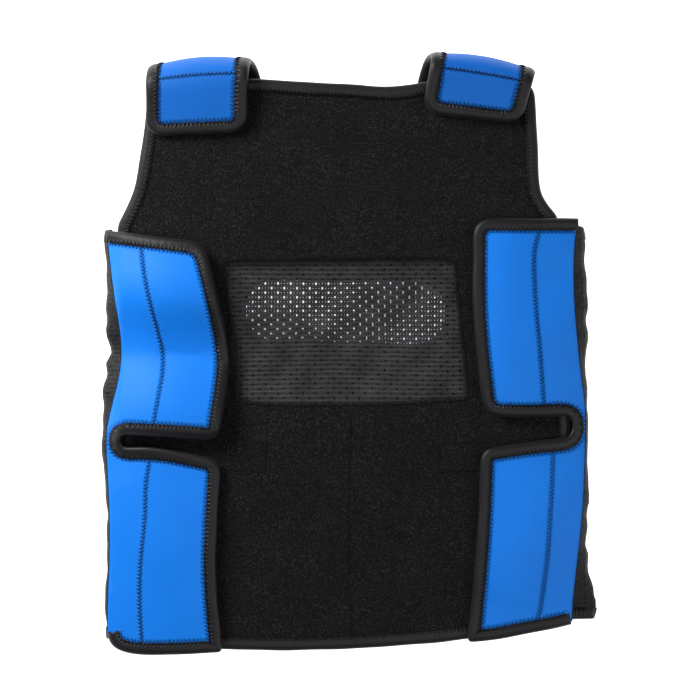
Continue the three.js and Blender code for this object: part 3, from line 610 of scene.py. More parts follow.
# turns a closed mesh's faces out, by the sign of its volume
def outwards(piece):
    mesh = piece.data
    mesh.calc_loop_triangles()
    corners = np.empty(len(mesh.loop_triangles) * 3, int)
    mesh.loop_triangles.foreach_get("vertices", corners)
    places = np.empty(len(mesh.vertices) * 3)
    mesh.vertices.foreach_get("co", places)
    a, b, c = places.reshape(-1, 3)[corners.reshape(-1, 3)].transpose(1, 0, 2)
    if (a * np.cross(b, c)).sum() < 0:
        mesh.flip_normals()
    return piece


print("cloth tools ready")


# a colour as written for the screen, turned to linear light
def colour(hexCode):
    parts = [int(hexCode[i:i + 2], 16) / 255 for i in (1, 3, 5)]
    return [part / 12.92 if part <= 0.04045 else ((part + 0.055) / 1.055) ** 2.4 for part in parts] + [1.0]


# adds a node with its settings; an input is a value, or a node or a (node, output) pair to link
def addNode(tree, kind, settings=None, inputs=None):
    node = tree.nodes.new(kind)
    for key, value in (settings or {}).items():
        setattr(node, key, value)
    for key, value in (inputs or {}).items():
        if isinstance(value, bpy.types.Node):
            value = (value, 0)
        if isinstance(value, tuple) and isinstance(value[0], bpy.types.Node):
            tree.links.new(value[0].outputs[value[1]], node.inputs[key])
        else:
            node.inputs[key].default_value = value
    return node


def newMaterial(name):
    material = bpy.data.materials.new(name)
    material.use_nodes = True
    material.node_tree.nodes.clear()
    return material, material.node_tree


def finishMaterial(tree, shader):
    output = addNode(tree, "ShaderNodeOutputMaterial")
    tree.links.new(shader.outputs[0], output.inputs["Surface"])


# Nylon jersey on neoprene: a fine, even knit that takes the light softly and glows a little when seen aslant.
# The real stitches are about 0.4 mm; they are drawn at 1.1 mm so that they show.
# The straps are a darker blue: painted shade, standing in for the light that falls away from their sloping
# tabs.
blueLook = {
    # hole: painted shade, the cloth darkened in the dimples at the needle holes
    "base": "#0878df", "shade": "#076dd3", "strap": "#0560b8", "strapShade": "#0456ac", "hole": "#051440",
    "knit": 0.0011, "bump": 0.16, "roughness": 0.55,
}


multiply = {"operation": "MULTIPLY"}
multiplyAdd = {"operation": "MULTIPLY_ADD"}
subtract = {"operation": "SUBTRACT"}
absolute = {"operation": "ABSOLUTE"}
cosine = {"operation": "COSINE"}


# a hump of height one where a value is zero, fading over a reach
def humpNodes(tree, value, reach):
    share = addNode(tree, "ShaderNodeMath", {"operation": "DIVIDE"}, {0: value, 1: reach})
    square = addNode(tree, "ShaderNodeMath", multiply, {0: share, 1: share})
    less = addNode(tree, "ShaderNodeMath", multiply, {0: square, 1: -1.0})
    return addNode(tree, "ShaderNodeMath", {"operation": "EXPONENT"}, {0: less})


# what stitches do to a cloth: depths and heights as shares of the bump, widths in half widths of the zigzag
stitchDent = {
    "hole": 1.0, "holeWidth": 0.45, "hollow": 0.55, "hollowWidth": 1.5, "puff": 0.9, "puffWidth": 0.8,
    "beside": 0.1, "besideAt": 1.9, "besideWidth": 0.6,
}


# dimples at the needle holes, a hollow along the stitches and the cloth puffed up between and beside them
def stitchRelief(tree):
    marks = addNode(tree, "ShaderNodeUVMap", {"uv_map": "stitchMap"})
    parts = addNode(tree, "ShaderNodeSeparateXYZ", None, {"Vector": (marks, "UV")})
    turn = addNode(tree, "ShaderNodeMath", multiply, {0: (parts, "X"), 1: math.tau})
    swing = addNode(tree, "ShaderNodeMath", cosine, {0: turn})
    sideways = addNode(tree, "ShaderNodeMath", subtract, {0: (parts, "Y"), 1: swing})
    reach = addNode(tree, "ShaderNodeMath", absolute, {0: swing})
    sharp = addNode(tree, "ShaderNodeMath", {"operation": "POWER"}, {0: reach, 1: 5.0})
    holes = addNode(tree, "ShaderNodeMath", multiply, {
        0: humpNodes(tree, sideways, stitchDent["holeWidth"]), 1: sharp,
    })
    hollow = humpNodes(tree, (parts, "Y"), stitchDent["hollowWidth"])
    between = addNode(tree, "ShaderNodeMath", {"operation": "ADD"}, {0: (parts, "Y"), 1: swing})
    puffed = addNode(tree, "ShaderNodeMath", multiply, {
        0: humpNodes(tree, between, stitchDent["puffWidth"]), 1: sharp,
    })
    outside = addNode(tree, "ShaderNodeMath", absolute, {0: (parts, "Y")})
    outside = addNode(tree, "ShaderNodeMath", subtract, {0: outside, 1: stitchDent["besideAt"]})
    beside = humpNodes(tree, outside, stitchDent["besideWidth"])
    height = addNode(tree, "ShaderNodeMath", multiply, {0: holes, 1: -stitchDent["hole"]})
    height = addNode(tree, "ShaderNodeMath", multiplyAdd, {0: hollow, 1: -stitchDent["hollow"], 2: height})
    height = addNode(tree, "ShaderNodeMath", multiplyAdd, {0: puffed, 1: stitchDent["puff"], 2: height})
    height = addNode(tree, "ShaderNodeMath", multiplyAdd, {0: beside, 1: stitchDent["beside"], 2: height})
    return height, holes


def makeBlueJersey(name, base, shade):
    material, tree = newMaterial(name)
    spot = addNode(tree, "ShaderNodeTexCoord")
    cloud = addNode(tree, "ShaderNodeTexNoise", None, {
        "Vector": (spot, "Object"), "Scale": 28.0, "Detail": 4.0, "Roughness": 0.55,
    })
    tint = addNode(tree, "ShaderNodeMix", {"data_type": "RGBA"}, {
        0: (cloud, "Fac"), 6: colour(base), 7: colour(shade),
    })
    relief, holes = stitchRelief(tree)
    # painted shade: the blue is darkened towards the hole colour in the dimples at the needle holes
    paintedHoleShade = addNode(tree, "ShaderNodeMath", multiply, {0: holes, 1: 0.75})
    tintWithHoleShade = addNode(tree, "ShaderNodeMix", {"data_type": "RGBA"}, {
        0: paintedHoleShade, 6: (tint, 2), 7: colour(blueLook["hole"]),
    })
    knit = addNode(tree, "ShaderNodeTexVoronoi", {"feature": "F1"}, {
        "Vector": (spot, "Object"), "Scale": 1 / blueLook["knit"], "Randomness": 0.7,
    })
    pebble = addNode(tree, "ShaderNodeTexNoise", None, {
        "Vector": (spot, "Object"), "Scale": 220.0, "Detail": 3.0,
    })
    fine = addNode(tree, "ShaderNodeMath", multiplyAdd, {0: (pebble, "Fac"), 1: 0.8, 2: (knit, "Distance")})
    fineBump = addNode(tree, "ShaderNodeBump", None, {
        "Strength": blueLook["bump"], "Distance": 0.0006, "Height": fine,
    })
    bump = addNode(tree, "ShaderNodeBump", None, {
        "Strength": 0.8, "Distance": 0.0009, "Height": relief, "Normal": (fineBump, "Normal"),
    })
    shader = addNode(tree, "ShaderNodeBsdfPrincipled", None, {
        "Base Color": (tintWithHoleShade, 2), "Roughness": blueLook["roughness"], "IOR": 1.45,
        "Specular IOR Level": 0.22, "Sheen Weight": 0.03, "Sheen Roughness": 0.4,
        "Sheen Tint": colour("#6aa8ff"),
        "Normal": (bump, "Normal"),
    })
    finishMaterial(tree, shader)
    return material


# Brushed nylon loop on neoprene: a matt black nap of tiny loops, paler where they catch the light.
loopLook = {"base": "#060607", "fleck": "#302f32", "loop": 0.0014, "bump": 0.8}


def makeLoopCloth():
    material, tree = newMaterial("brushedLoop")
    place = addNode(tree, "ShaderNodeTexCoord")
    loops = addNode(tree, "ShaderNodeTexNoise", None, {
        "Vector": (place, "Object"), "Scale": 1 / loopLook["loop"], "Detail": 3.0, "Roughness": 0.7,
    })
    patches = addNode(tree, "ShaderNodeTexNoise", None, {
        "Vector": (place, "Object"), "Scale": 34.0, "Detail": 3.0,
    })
    lit = addNode(tree, "ShaderNodeMath", multiplyAdd, {0: (patches, "Fac"), 1: 0.08, 2: (loops, "Fac")})
    fleck = addNode(tree, "ShaderNodeMapRange", {"interpolation_type": "SMOOTHSTEP"}, {
        "Value": (lit, 0), "From Min": 0.49, "From Max": 0.82, "To Min": 0.0, "To Max": 1.0,
    })
    tint = addNode(tree, "ShaderNodeMix", {"data_type": "RGBA"}, {
        0: (fleck, 0), 6: colour(loopLook["base"]), 7: colour(loopLook["fleck"]),
    })
    bump = addNode(tree, "ShaderNodeBump", None, {
        "Strength": loopLook["bump"], "Distance": 0.0012, "Height": (loops, "Fac"),
    })
    shader = addNode(tree, "ShaderNodeBsdfPrincipled", None, {
        "Base Color": (tint, 2), "Roughness": 0.95, "IOR": 1.45, "Specular IOR Level": 0.1,
        "Sheen Weight": 0.05, "Sheen Roughness": 0.6, "Normal": (bump, "Normal"),
    })
    finishMaterial(tree, shader)
    return material


# Nylon jersey binding tape: smoother than the panels, a soft dark grey with a satin edge light.
tapeColours = {"base": "#111014", "worn": "#1b191c", "thread": 0.0009, "stitch": 0.03}


def makeTapeCloth():
    material, tree = newMaterial("bindingTape")
    place = addNode(tree, "ShaderNodeTexCoord")
    cloud = addNode(tree, "ShaderNodeTexNoise", None, {
        "Vector": (place, "Object"), "Scale": 60.0, "Detail": 4.0,
    })
    tint = addNode(tree, "ShaderNodeMix", {"data_type": "RGBA"}, {
        0: (cloud, "Fac"), 6: colour(tapeColours["base"]), 7: colour(tapeColours["worn"]),
    })
    weave = addNode(tree, "ShaderNodeTexVoronoi", {"feature": "F1"}, {
        "Vector": (place, "Object"), "Scale": 1 / tapeColours["thread"], "Randomness": 0.6,
    })
    # the thread draws the tape in, stitch by stitch, along its inner edge
    flat = addNode(tree, "ShaderNodeUVMap", {"uv_map": "flatMap"})
    parts = addNode(tree, "ShaderNodeSeparateXYZ", None, {"Vector": (flat, "UV")})
    turn = addNode(tree, "ShaderNodeMath", multiply, {0: (parts, "X"), 1: math.tau / tapeColours["stitch"]})
    wave = addNode(tree, "ShaderNodeMath", cosine, {0: turn})
    edge = addNode(tree, "ShaderNodeMapRange", {"interpolation_type": "SMOOTHSTEP"}, {
        "Value": (parts, "Y"), "From Min": 0.022, "From Max": 0.036, "To Min": 1.0, "To Max": 0.0,
    })
    grooves = addNode(tree, "ShaderNodeMath", multiply, {0: wave, 1: edge})
    fineBump = addNode(tree, "ShaderNodeBump", None, {
        "Strength": 0.12, "Distance": 0.0005, "Height": (weave, "Distance"),
    })
    bump = addNode(tree, "ShaderNodeBump", None, {
        "Strength": 0.6, "Distance": 0.0005, "Height": grooves, "Normal": (fineBump, "Normal"),
    })
    shader = addNode(tree, "ShaderNodeBsdfPrincipled", None, {
        "Base Color": (tint, 2), "Roughness": 0.47, "IOR": 1.45, "Specular IOR Level": 0.27,
        "Sheen Weight": 0.05, "Sheen Roughness": 0.4, "Normal": (bump, "Normal"),
    })
    finishMaterial(tree, shader)
    return material


# Knitted polyester net: dark threads in ribs, with a slight shine on each rib.
netLook = {
    "base": "#08080a", "rib": "#434346", "ribbing": 0.3, "row": 0.00335,
    "slackBase": "#070707", "slackRib": "#222120", "slackRibbing": 0.2,
}


def makeNetCloth(name, ribbing, base, rib):
    material, tree = newMaterial(name)
    flat = addNode(tree, "ShaderNodeUVMap", {"uv_map": "flatMap"})
    parts = addNode(tree, "ShaderNodeSeparateXYZ", None, {"Vector": (flat, "UV")})
    drift = addNode(tree, "ShaderNodeTexNoise", None, {
        "Vector": (flat, "UV"), "Scale": 5.0, "Detail": 3.0,
    })
    # one strong rib between two rows of holes, and finer ones between
    row = addNode(tree, "ShaderNodeMath", multiply, {0: (parts, "Y"), 1: math.tau / (netLook["row"] * 10)})
    row = addNode(tree, "ShaderNodeMath", multiplyAdd, {0: (drift, "Fac"), 1: 1.6, 2: row})
    strong = addNode(tree, "ShaderNodeMath", cosine, {0: row})
    fine = addNode(tree, "ShaderNodeMath", multiply, {0: row, 1: 3.0})
    weak = addNode(tree, "ShaderNodeMath", cosine, {0: fine})
    ribs = addNode(tree, "ShaderNodeMath", multiplyAdd, {0: weak, 1: 0.35, 2: strong})
    fibre = addNode(tree, "ShaderNodeTexNoise", None, {
        "Vector": (flat, "UV"), "Scale": 90.0, "Detail": 3.0,
    })
    patches = addNode(tree, "ShaderNodeTexNoise", None, {
        "Vector": (flat, "UV"), "Scale": 6.0, "Detail": 3.0,
    })
    ribs = addNode(tree, "ShaderNodeMath", multiply, {0: ribs, 1: ribbing})
    height = addNode(tree, "ShaderNodeMath", multiplyAdd, {0: (fibre, "Fac"), 1: 1.8, 2: ribs})
    lit = addNode(tree, "ShaderNodeMath", multiply, {0: height, 1: (patches, "Fac")})
    share = addNode(tree, "ShaderNodeMapRange", None, {
        "Value": lit, "From Min": 0.15, "From Max": 1.25, "To Min": 0.0, "To Max": 1.0,
    })
    tint = addNode(tree, "ShaderNodeMix", {"data_type": "RGBA"}, {
        0: (share, 0), 6: colour(base), 7: colour(rib),
    })
    bump = addNode(tree, "ShaderNodeBump", None, {
        "Strength": 0.7, "Distance": 0.0006, "Height": height,
    })
    shader = addNode(tree, "ShaderNodeBsdfPrincipled", None, {
        "Base Color": (tint, 2), "Roughness": 0.5, "IOR": 1.5, "Specular IOR Level": 0.25,
        "Normal": (bump, "Normal"),
    })
    finishMaterial(tree, shader)
    return material


# Black nylon jersey, the neoprene's inner face.
def makeLining():
    material, tree = newMaterial("blackJersey")
    place = addNode(tree, "ShaderNodeTexCoord")
    knit = addNode(tree, "ShaderNodeTexVoronoi", {"feature": "F1"}, {
        "Vector": (place, "Object"), "Scale": 900.0, "Randomness": 0.6,
    })
    tint = addNode(tree, "ShaderNodeMix", {"data_type": "RGBA"}, {
        0: (knit, "Distance"), 6: colour("#121214"), 7: colour("#232325"),
    })
    bump = addNode(tree, "ShaderNodeBump", None, {
        "Strength": 0.2, "Distance": 0.0005, "Height": (knit, "Distance"),
    })
    shader = addNode(tree, "ShaderNodeBsdfPrincipled", None, {
        "Base Color": (tint, 2), "Roughness": 0.8, "IOR": 1.45, "Specular IOR Level": 0.25,
        "Normal": (bump, "Normal"),
    })
    finishMaterial(tree, shader)
    return material


# Twisted polyester thread, black, with a faint gloss along each stitch.
def makeThread():
    material, tree = newMaterial("polyesterThread")
    place = addNode(tree, "ShaderNodeTexCoord")
    twist = addNode(tree, "ShaderNodeTexNoise", None, {
        "Vector": (place, "Object"), "Scale": 1500.0, "Detail": 2.0,
    })
    tint = addNode(tree, "ShaderNodeMix", {"data_type": "RGBA"}, {
        0: (twist, "Fac"), 6: colour("#030305"), 7: colour("#0c0c10"),
    })
    shader = addNode(tree, "ShaderNodeBsdfPrincipled", None, {
        "Base Color": (tint, 2), "Roughness": 0.65, "IOR": 1.5, "Specular IOR Level": 0.15,
    })
    finishMaterial(tree, shader)
    return material


looks = {
    "blue": makeBlueJersey("nylonJersey", blueLook["base"], blueLook["shade"]),
    # the straps' material is a darker blue, painted shade for the light that falls off on their sloping tabs
    "strapBluePaintedShade": makeBlueJersey("nylonJerseyStrap", blueLook["strap"], blueLook["strapShade"]),
    "loop": makeLoopCloth(),
    "tape": makeTapeCloth(),
    "net": makeNetCloth("knittedNet", netLook["ribbing"], netLook["base"], netLook["rib"]),
    "slackNet": makeNetCloth("slackNet", netLook["slackRibbing"], netLook["slackBase"], netLook["slackRib"]),
    "lining": makeLining(),
    "thread": makeThread(),
}
print("materials ready")


def newTree(name, sockets):
    tree = bpy.data.node_groups.new(name, "GeometryNodeTree")
    tree.interface.new_socket("Geometry", in_out="INPUT", socket_type="NodeSocketGeometry")
    for label, (kind, default) in sockets.items():
        socket = tree.interface.new_socket(label, in_out="INPUT", socket_type=kind)
        if default is not None:
            socket.default_value = default
    tree.interface.new_socket("Geometry", in_out="OUTPUT", socket_type="NodeSocketGeometry")
    return tree


# runs a tree on a piece and keeps the result as a plain mesh
def bakeTree(piece, tree, values):
    modifier = piece.modifiers.new("make", "NODES")
    modifier.node_group = tree
    for item in tree.interface.items_tree:
        if item.in_out == "INPUT" and item.name in values:
            modifier[item.identifier] = values[item.name]
    bpy.context.view_layer.update()
    made = bpy.data.meshes.new_from_object(piece.evaluated_get(bpy.context.evaluated_depsgraph_get()))
    made.name = piece.name
    piece.modifiers.remove(modifier)
    old = piece.data
    piece.data = made
    bpy.data.meshes.remove(old)
    return piece


# Stitches: the thread zigzags across a path, goes down at each needle hole and stands proud between them.
def makeStitchTree():
    tree = newTree("zigzagStitch", {
        "Pitch": ("NodeSocketFloat", 0.0027), "Width": ("NodeSocketFloat", 0.004),
        "Rise": ("NodeSocketFloat", 0.00035), "Thread": ("NodeSocketFloat", 0.00028),
        "Material": ("NodeSocketMaterial", None),
    })
    source = addNode(tree, "NodeGroupInput")
    line = addNode(tree, "GeometryNodeMeshToCurve", None, {"Mesh": (source, "Geometry")})
    quarter = addNode(tree, "ShaderNodeMath", {"operation": "DIVIDE"}, {0: (source, "Pitch"), 1: 4.0})
    even = addNode(tree, "GeometryNodeResampleCurve", {"mode": "LENGTH"}, {
        "Curve": (line, "Curve"), "Length": (quarter, 0),
    })
    number = addNode(tree, "GeometryNodeInputIndex")
    angle = addNode(tree, "ShaderNodeMath", {"operation": "MULTIPLY"}, {0: (number, 0), 1: math.pi / 2})
    swing = addNode(tree, "ShaderNodeMath", {"operation": "COSINE"}, {0: (angle, 0)})
    bow = addNode(tree, "ShaderNodeMath", {"operation": "SINE"}, {0: (angle, 0)})
    proud = addNode(tree, "ShaderNodeMath", {"operation": "ABSOLUTE"}, {0: (bow, 0)})
    halfWidth = addNode(tree, "ShaderNodeMath", {"operation": "MULTIPLY"}, {0: (source, "Width"), 1: 0.5})
    reach = addNode(tree, "ShaderNodeMath", {"operation": "MULTIPLY"}, {0: (swing, 0), 1: (halfWidth, 0)})
    lift = addNode(tree, "ShaderNodeMath", {"operation": "MULTIPLY"}, {0: (proud, 0), 1: (source, "Rise")})
    side = addNode(tree, "GeometryNodeInputNamedAttribute", {"data_type": "FLOAT_VECTOR"}, {"Name": "side"})
    up = addNode(tree, "GeometryNodeInputNamedAttribute", {"data_type": "FLOAT_VECTOR"}, {"Name": "up"})
    across = addNode(tree, "ShaderNodeVectorMath", {"operation": "SCALE"}, {
        0: (side, "Attribute"), "Scale": (reach, 0),
    })
    above = addNode(tree, "ShaderNodeVectorMath", {"operation": "SCALE"}, {
        0: (up, "Attribute"), "Scale": (lift, 0),
    })
    offset = addNode(tree, "ShaderNodeVectorMath", {"operation": "ADD"}, {0: across, 1: above})
    moved = addNode(tree, "GeometryNodeSetPosition", None, {"Geometry": (even, "Curve"), "Offset": offset})
    ring = addNode(tree, "GeometryNodeCurvePrimitiveCircle", {"mode": "RADIUS"}, {
        "Resolution": 5, "Radius": (source, "Thread"),
    })
    tube = addNode(tree, "GeometryNodeCurveToMesh", None, {
        "Curve": (moved, "Geometry"), "Profile Curve": (ring, "Curve"), "Fill Caps": True,
    })
    real = addNode(tree, "GeometryNodeRealizeInstances", None, {"Geometry": (tube, "Mesh")})
    dressed = addNode(tree, "GeometryNodeSetMaterial", None, {
        "Geometry": (real, "Geometry"), "Material": (source, "Material"),
    })
    addNode(tree, "NodeGroupOutput", None, {"Geometry": (dressed, "Geometry")})
    return tree


stitchTree = makeStitchTree()
# pitches and threads in metres, the rest in millimetres; the insets are from a tape's inner edge
stitchLook = {
    "binding": 0.0030, "seam": 0.0028, "running": 0.0034, "bindingWidth": 3.3, "seamWidth": 2.7, "slope": 0.2,
    "runningWidth": 0.3, "runningThread": 0.00034, "panelInset": -0.2, "wingInset": 0.1,
    "onTape": 0.6, "onCloth": 0.05, "onLoop": 0.1, "pastEnd": 3.0,
}
overlock = {"pitch": 0.0012, "width": 0.9, "thread": 0.0006, "rise": 0.0002, "sunk": 0.6}


# how many turns of the thread lie before each point of a line, as the tree above will place them
def threadTurns(path, surface, height, pitch):
    runs = runLengths(surface(path[:, 0], path[:, 1], height))
    steps = int(runs[-1] * 0.001 / (pitch / 4))
    return runs / runs[-1] * steps / 4


farAway = 9.0  # half widths, past which a stitch leaves no mark


# marks a cloth's faces with the stitches nearest to each: turns along them, and half widths across them
def markStitches(piece, lines):
    mesh = piece.data
    corners = np.empty(len(mesh.loops), int)
    mesh.loops.foreach_get("vertex_index", corners)
    flat = np.empty(len(mesh.loops) * 2)
    mesh.uv_layers["flatMap"].data.foreach_get("uv", flat)
    places = flat.reshape(-1, 2) * 100
    sizes = np.empty(len(mesh.polygons), int)
    mesh.polygons.foreach_get("loop_total", sizes)
    owners = np.repeat(np.arange(len(sizes)), sizes)
    centres = np.column_stack([np.bincount(owners, places[:, axis]) / sizes for axis in (0, 1)])
    path = np.vstack([line[0] for line in lines])
    normals = np.vstack([line[1] for line in lines])
    turns = np.concatenate([threadTurns(line[0], line[2], line[3], line[4]) for line in lines])
    halves = np.concatenate([np.full(len(line[0]), line[5] / 2) for line in lines])
    near = np.concatenate([
        ((centres[start:start + 1500, None] - path[None]) ** 2).sum(-1).argmin(axis=1)
        for start in range(0, len(centres), 1500)
    ])[owners]
    ahead = np.clip(near + 1, 0, len(path) - 1)
    off = places - path[near]
    along = np.column_stack([normals[near][:, 1], -normals[near][:, 0]])
    step = np.linalg.norm(path[ahead] - path[near], axis=1)
    rate = np.where((step > 0.1) & (step < 4), (turns[ahead] - turns[near]) / np.maximum(step, 0.1), 0.33)
    way = np.sign(((path[ahead] - path[near]) * along).sum(axis=1))
    marks = np.column_stack([
        turns[near] + (off * along).sum(axis=1) * way * rate,
        (off * normals[near]).sum(axis=1) / halves[near],
    ])
    # faces past the end of a line have no stitches
    past = np.abs(((centres[owners] - path[near]) * along).sum(axis=1)) > stitchLook["pastEnd"]
    marks[past, 1] = farAway
    layer = mesh.uv_layers.new(name="stitchMap")
    layer.data.foreach_set("uv", marks.ravel())


# a row of stitches along lines on surfaces; each line is (path, normals, surface, height)
def makeStitches(name, lines, pitch, width, thread=0.00027, rise=0.0003, slope=0.0):
    points, edges, sides, ups = [], [], [], []
    for path, normals, surface, height in lines:
        start = sum(len(part) for part in points)
        here = surface(path[:, 0], path[:, 1], height)
        aside = path + normals
        across = surface(aside[:, 0], aside[:, 1], height - slope) - here
        across /= np.linalg.norm(across, axis=1, keepdims=True)
        above = surface(path[:, 0], path[:, 1], height + 1.0) - here
        above /= np.linalg.norm(above, axis=1, keepdims=True)
        points.append(toFrame(here))
        sides.append(across)
        ups.append(above)
        edges += [(start + i, start + i + 1) for i in range(len(path) - 1)]
    mesh = bpy.data.meshes.new(name)
    mesh.from_pydata(np.vstack(points).tolist(), edges, [])
    for label, values in (("side", sides), ("up", ups)):
        layer = mesh.attributes.new(label, "FLOAT_VECTOR", "POINT")
        layer.data.foreach_set("vector", np.vstack(values).ravel())
    piece = bpy.data.objects.new(name, mesh)
    bpy.context.scene.collection.objects.link(piece)
    bakeTree(piece, stitchTree, {
        "Pitch": pitch, "Width": width * 0.001, "Rise": rise, "Thread": thread, "Material": looks["thread"],
    })
    for label in ("side", "up"):
        if label in piece.data.attributes:
            piece.data.attributes.remove(piece.data.attributes[label])
    piece.data.polygons.foreach_set("use_smooth", [True] * len(piece.data.polygons))
    return piece


# the zigzag that holds a tape, half of it on the tape and half on the cloth
def makeBindingStitches(name, lines):
    return makeStitches(
        name, lines, stitchLook["binding"], stitchLook["bindingWidth"], slope=stitchLook["slope"]
    )


# a line offset from a path, for the stitches that hold a tape
def besidePath(path, turn, inset, closed=False):
    normals = leftNormals(path, closed) * turn
    line = path + normals * inset
    if closed:
        line, normals = np.vstack([line, line[:1]]), np.vstack([normals, normals[:1]])
    return line, normals


# Nets: one cell of the net, with its holes, repeated over a flat grid and laid on a surface by its flat map.
def makeNetTree():
    tree = newTree("perforatedNet", {
        "Cell": ("NodeSocketObject", None), "Support": ("NodeSocketObject", None),
        "Columns": ("NodeSocketInt", 20), "Rows": ("NodeSocketInt", 20),
        "Cell Width": ("NodeSocketFloat", 0.0093), "Cell Height": ("NodeSocketFloat", 0.0078),
        "Material": ("NodeSocketMaterial", None),
    })
    source = addNode(tree, "NodeGroupInput")
    columns = addNode(tree, "ShaderNodeMath", subtract, {0: (source, "Columns"), 1: 1.0})
    rows = addNode(tree, "ShaderNodeMath", subtract, {0: (source, "Rows"), 1: 1.0})
    sizeX = addNode(tree, "ShaderNodeMath", multiply, {0: columns, 1: (source, "Cell Width")})
    sizeY = addNode(tree, "ShaderNodeMath", multiply, {0: rows, 1: (source, "Cell Height")})
    grid = addNode(tree, "GeometryNodeMeshGrid", None, {
        "Size X": (sizeX, 0), "Size Y": (sizeY, 0),
        "Vertices X": (source, "Columns"), "Vertices Y": (source, "Rows"),
    })
    cell = addNode(tree, "GeometryNodeObjectInfo", None, {"Object": (source, "Cell")})
    copies = addNode(tree, "GeometryNodeInstanceOnPoints", None, {
        "Points": (grid, "Mesh"), "Instance": (cell, "Geometry"),
    })
    real = addNode(tree, "GeometryNodeRealizeInstances", None, {"Geometry": (copies, "Instances")})
    joined = addNode(tree, "GeometryNodeMergeByDistance", None, {
        "Geometry": (real, "Geometry"), "Distance": 0.00002,
    })
    place = addNode(tree, "GeometryNodeInputPosition")
    fullX = addNode(tree, "ShaderNodeMath", multiply, {0: (source, "Columns"), 1: (source, "Cell Width")})
    fullY = addNode(tree, "ShaderNodeMath", multiply, {0: (source, "Rows"), 1: (source, "Cell Height")})
    full = addNode(tree, "ShaderNodeCombineXYZ", None, {"X": fullX, "Y": fullY, "Z": 1.0})
    share = addNode(tree, "ShaderNodeVectorMath", {"operation": "DIVIDE"}, {0: place, 1: full})
    flat = addNode(tree, "ShaderNodeVectorMath", {"operation": "ADD"}, {0: share, 1: (0.5, 0.5, 0.0)})
    inFlat = addNode(tree, "ShaderNodeVectorMath", multiply, {0: place, 1: (10.0, 10.0, 0.0)})
    mapped = addNode(tree, "GeometryNodeStoreNamedAttribute", {"data_type": "FLOAT2", "domain": "CORNER"}, {
        "Geometry": (joined, "Geometry"), "Name": "flatMap", "Value": (inFlat, 0),
    })
    support = addNode(tree, "GeometryNodeObjectInfo", None, {"Object": (source, "Support")})
    supportPlace = addNode(tree, "GeometryNodeInputPosition")
    supportMap = addNode(tree, "GeometryNodeInputNamedAttribute", {"data_type": "FLOAT_VECTOR"}, {
        "Name": "supportMap",
    })
    laid = addNode(tree, "GeometryNodeSampleUVSurface", {"data_type": "FLOAT_VECTOR"}, {
        "Mesh": (support, "Geometry"), "Value": (supportPlace, 0), "UV Map": (supportMap, "Attribute"),
        "Sample UV": (flat, 0),
    })
    moved = addNode(tree, "GeometryNodeSetPosition", None, {
        "Geometry": (mapped, "Geometry"), "Position": (laid, "Value"),
    })
    plain = addNode(tree, "GeometryNodeRealizeInstances", None, {"Geometry": (moved, "Geometry")})
    dressed = addNode(tree, "GeometryNodeSetMaterial", None, {
        "Geometry": (plain, "Geometry"), "Material": (source, "Material"),
    })
    addNode(tree, "NodeGroupOutput", None, {"Geometry": (dressed, "Geometry")})
    return tree


netTree = makeNetTree()
netCell = {"width": 9.2, "height": 6.7, "wall": 0.7}
# the net's holes and pores, across and along: hanging in the chest window, drawn flat in the back one,
# and slack at the sides
netHoles = {
    "chest": {"hole": (1.3, 2.0), "pore": (0.45, 0.65)},
    "back": {"hole": (2.1, 2.95), "pore": (2.1, 2.95)},
    "side": {"hole": (0.7, 1.2), "pore": (0.0, 0.0)},
}


def makeNetCell(kind):
    width, height = netCell["width"], netCell["height"]
    steps = 4
    corners = [(-1, -1), (1, -1), (1, 1), (-1, 1)]
    outline = []
    for (ax, ay), (bx, by) in zip(corners, corners[1:] + corners[:1]):
        for i in range(steps):
            t = i / steps
            outline.append((0.5 * width * (ax + (bx - ax) * t), 0.5 * height * (ay + (by - ay) * t)))
    holes = []
    for row, holeColumn in ((-0.25, 0), (0.25, 2)):
        for column in range(4):
            size = netHoles[kind]["hole" if column == holeColumn else "pore"]
            if size[0] == 0:
                continue
            turns = np.arange(10 if column == holeColumn else 5) + 0.25
            turns = turns * math.tau / len(turns)
            holes.append(np.column_stack([
                ((column + 0.5) / 4 - 0.5) * width + 0.5 * size[0] * np.cos(turns),
                row * height + 0.5 * size[1] * np.sin(turns),
            ]))
    points, faces, _ = flatCut(np.array(outline), holes, 100.0)
    mesh = bpy.data.meshes.new("netCell" + kind)
    mesh.from_pydata((np.column_stack([points, np.zeros(len(points))]) * 0.001).tolist(), [], faces)
    cell = bpy.data.objects.new("netCell" + kind, mesh)
    bpy.context.scene.collection.objects.link(cell)
    return cell


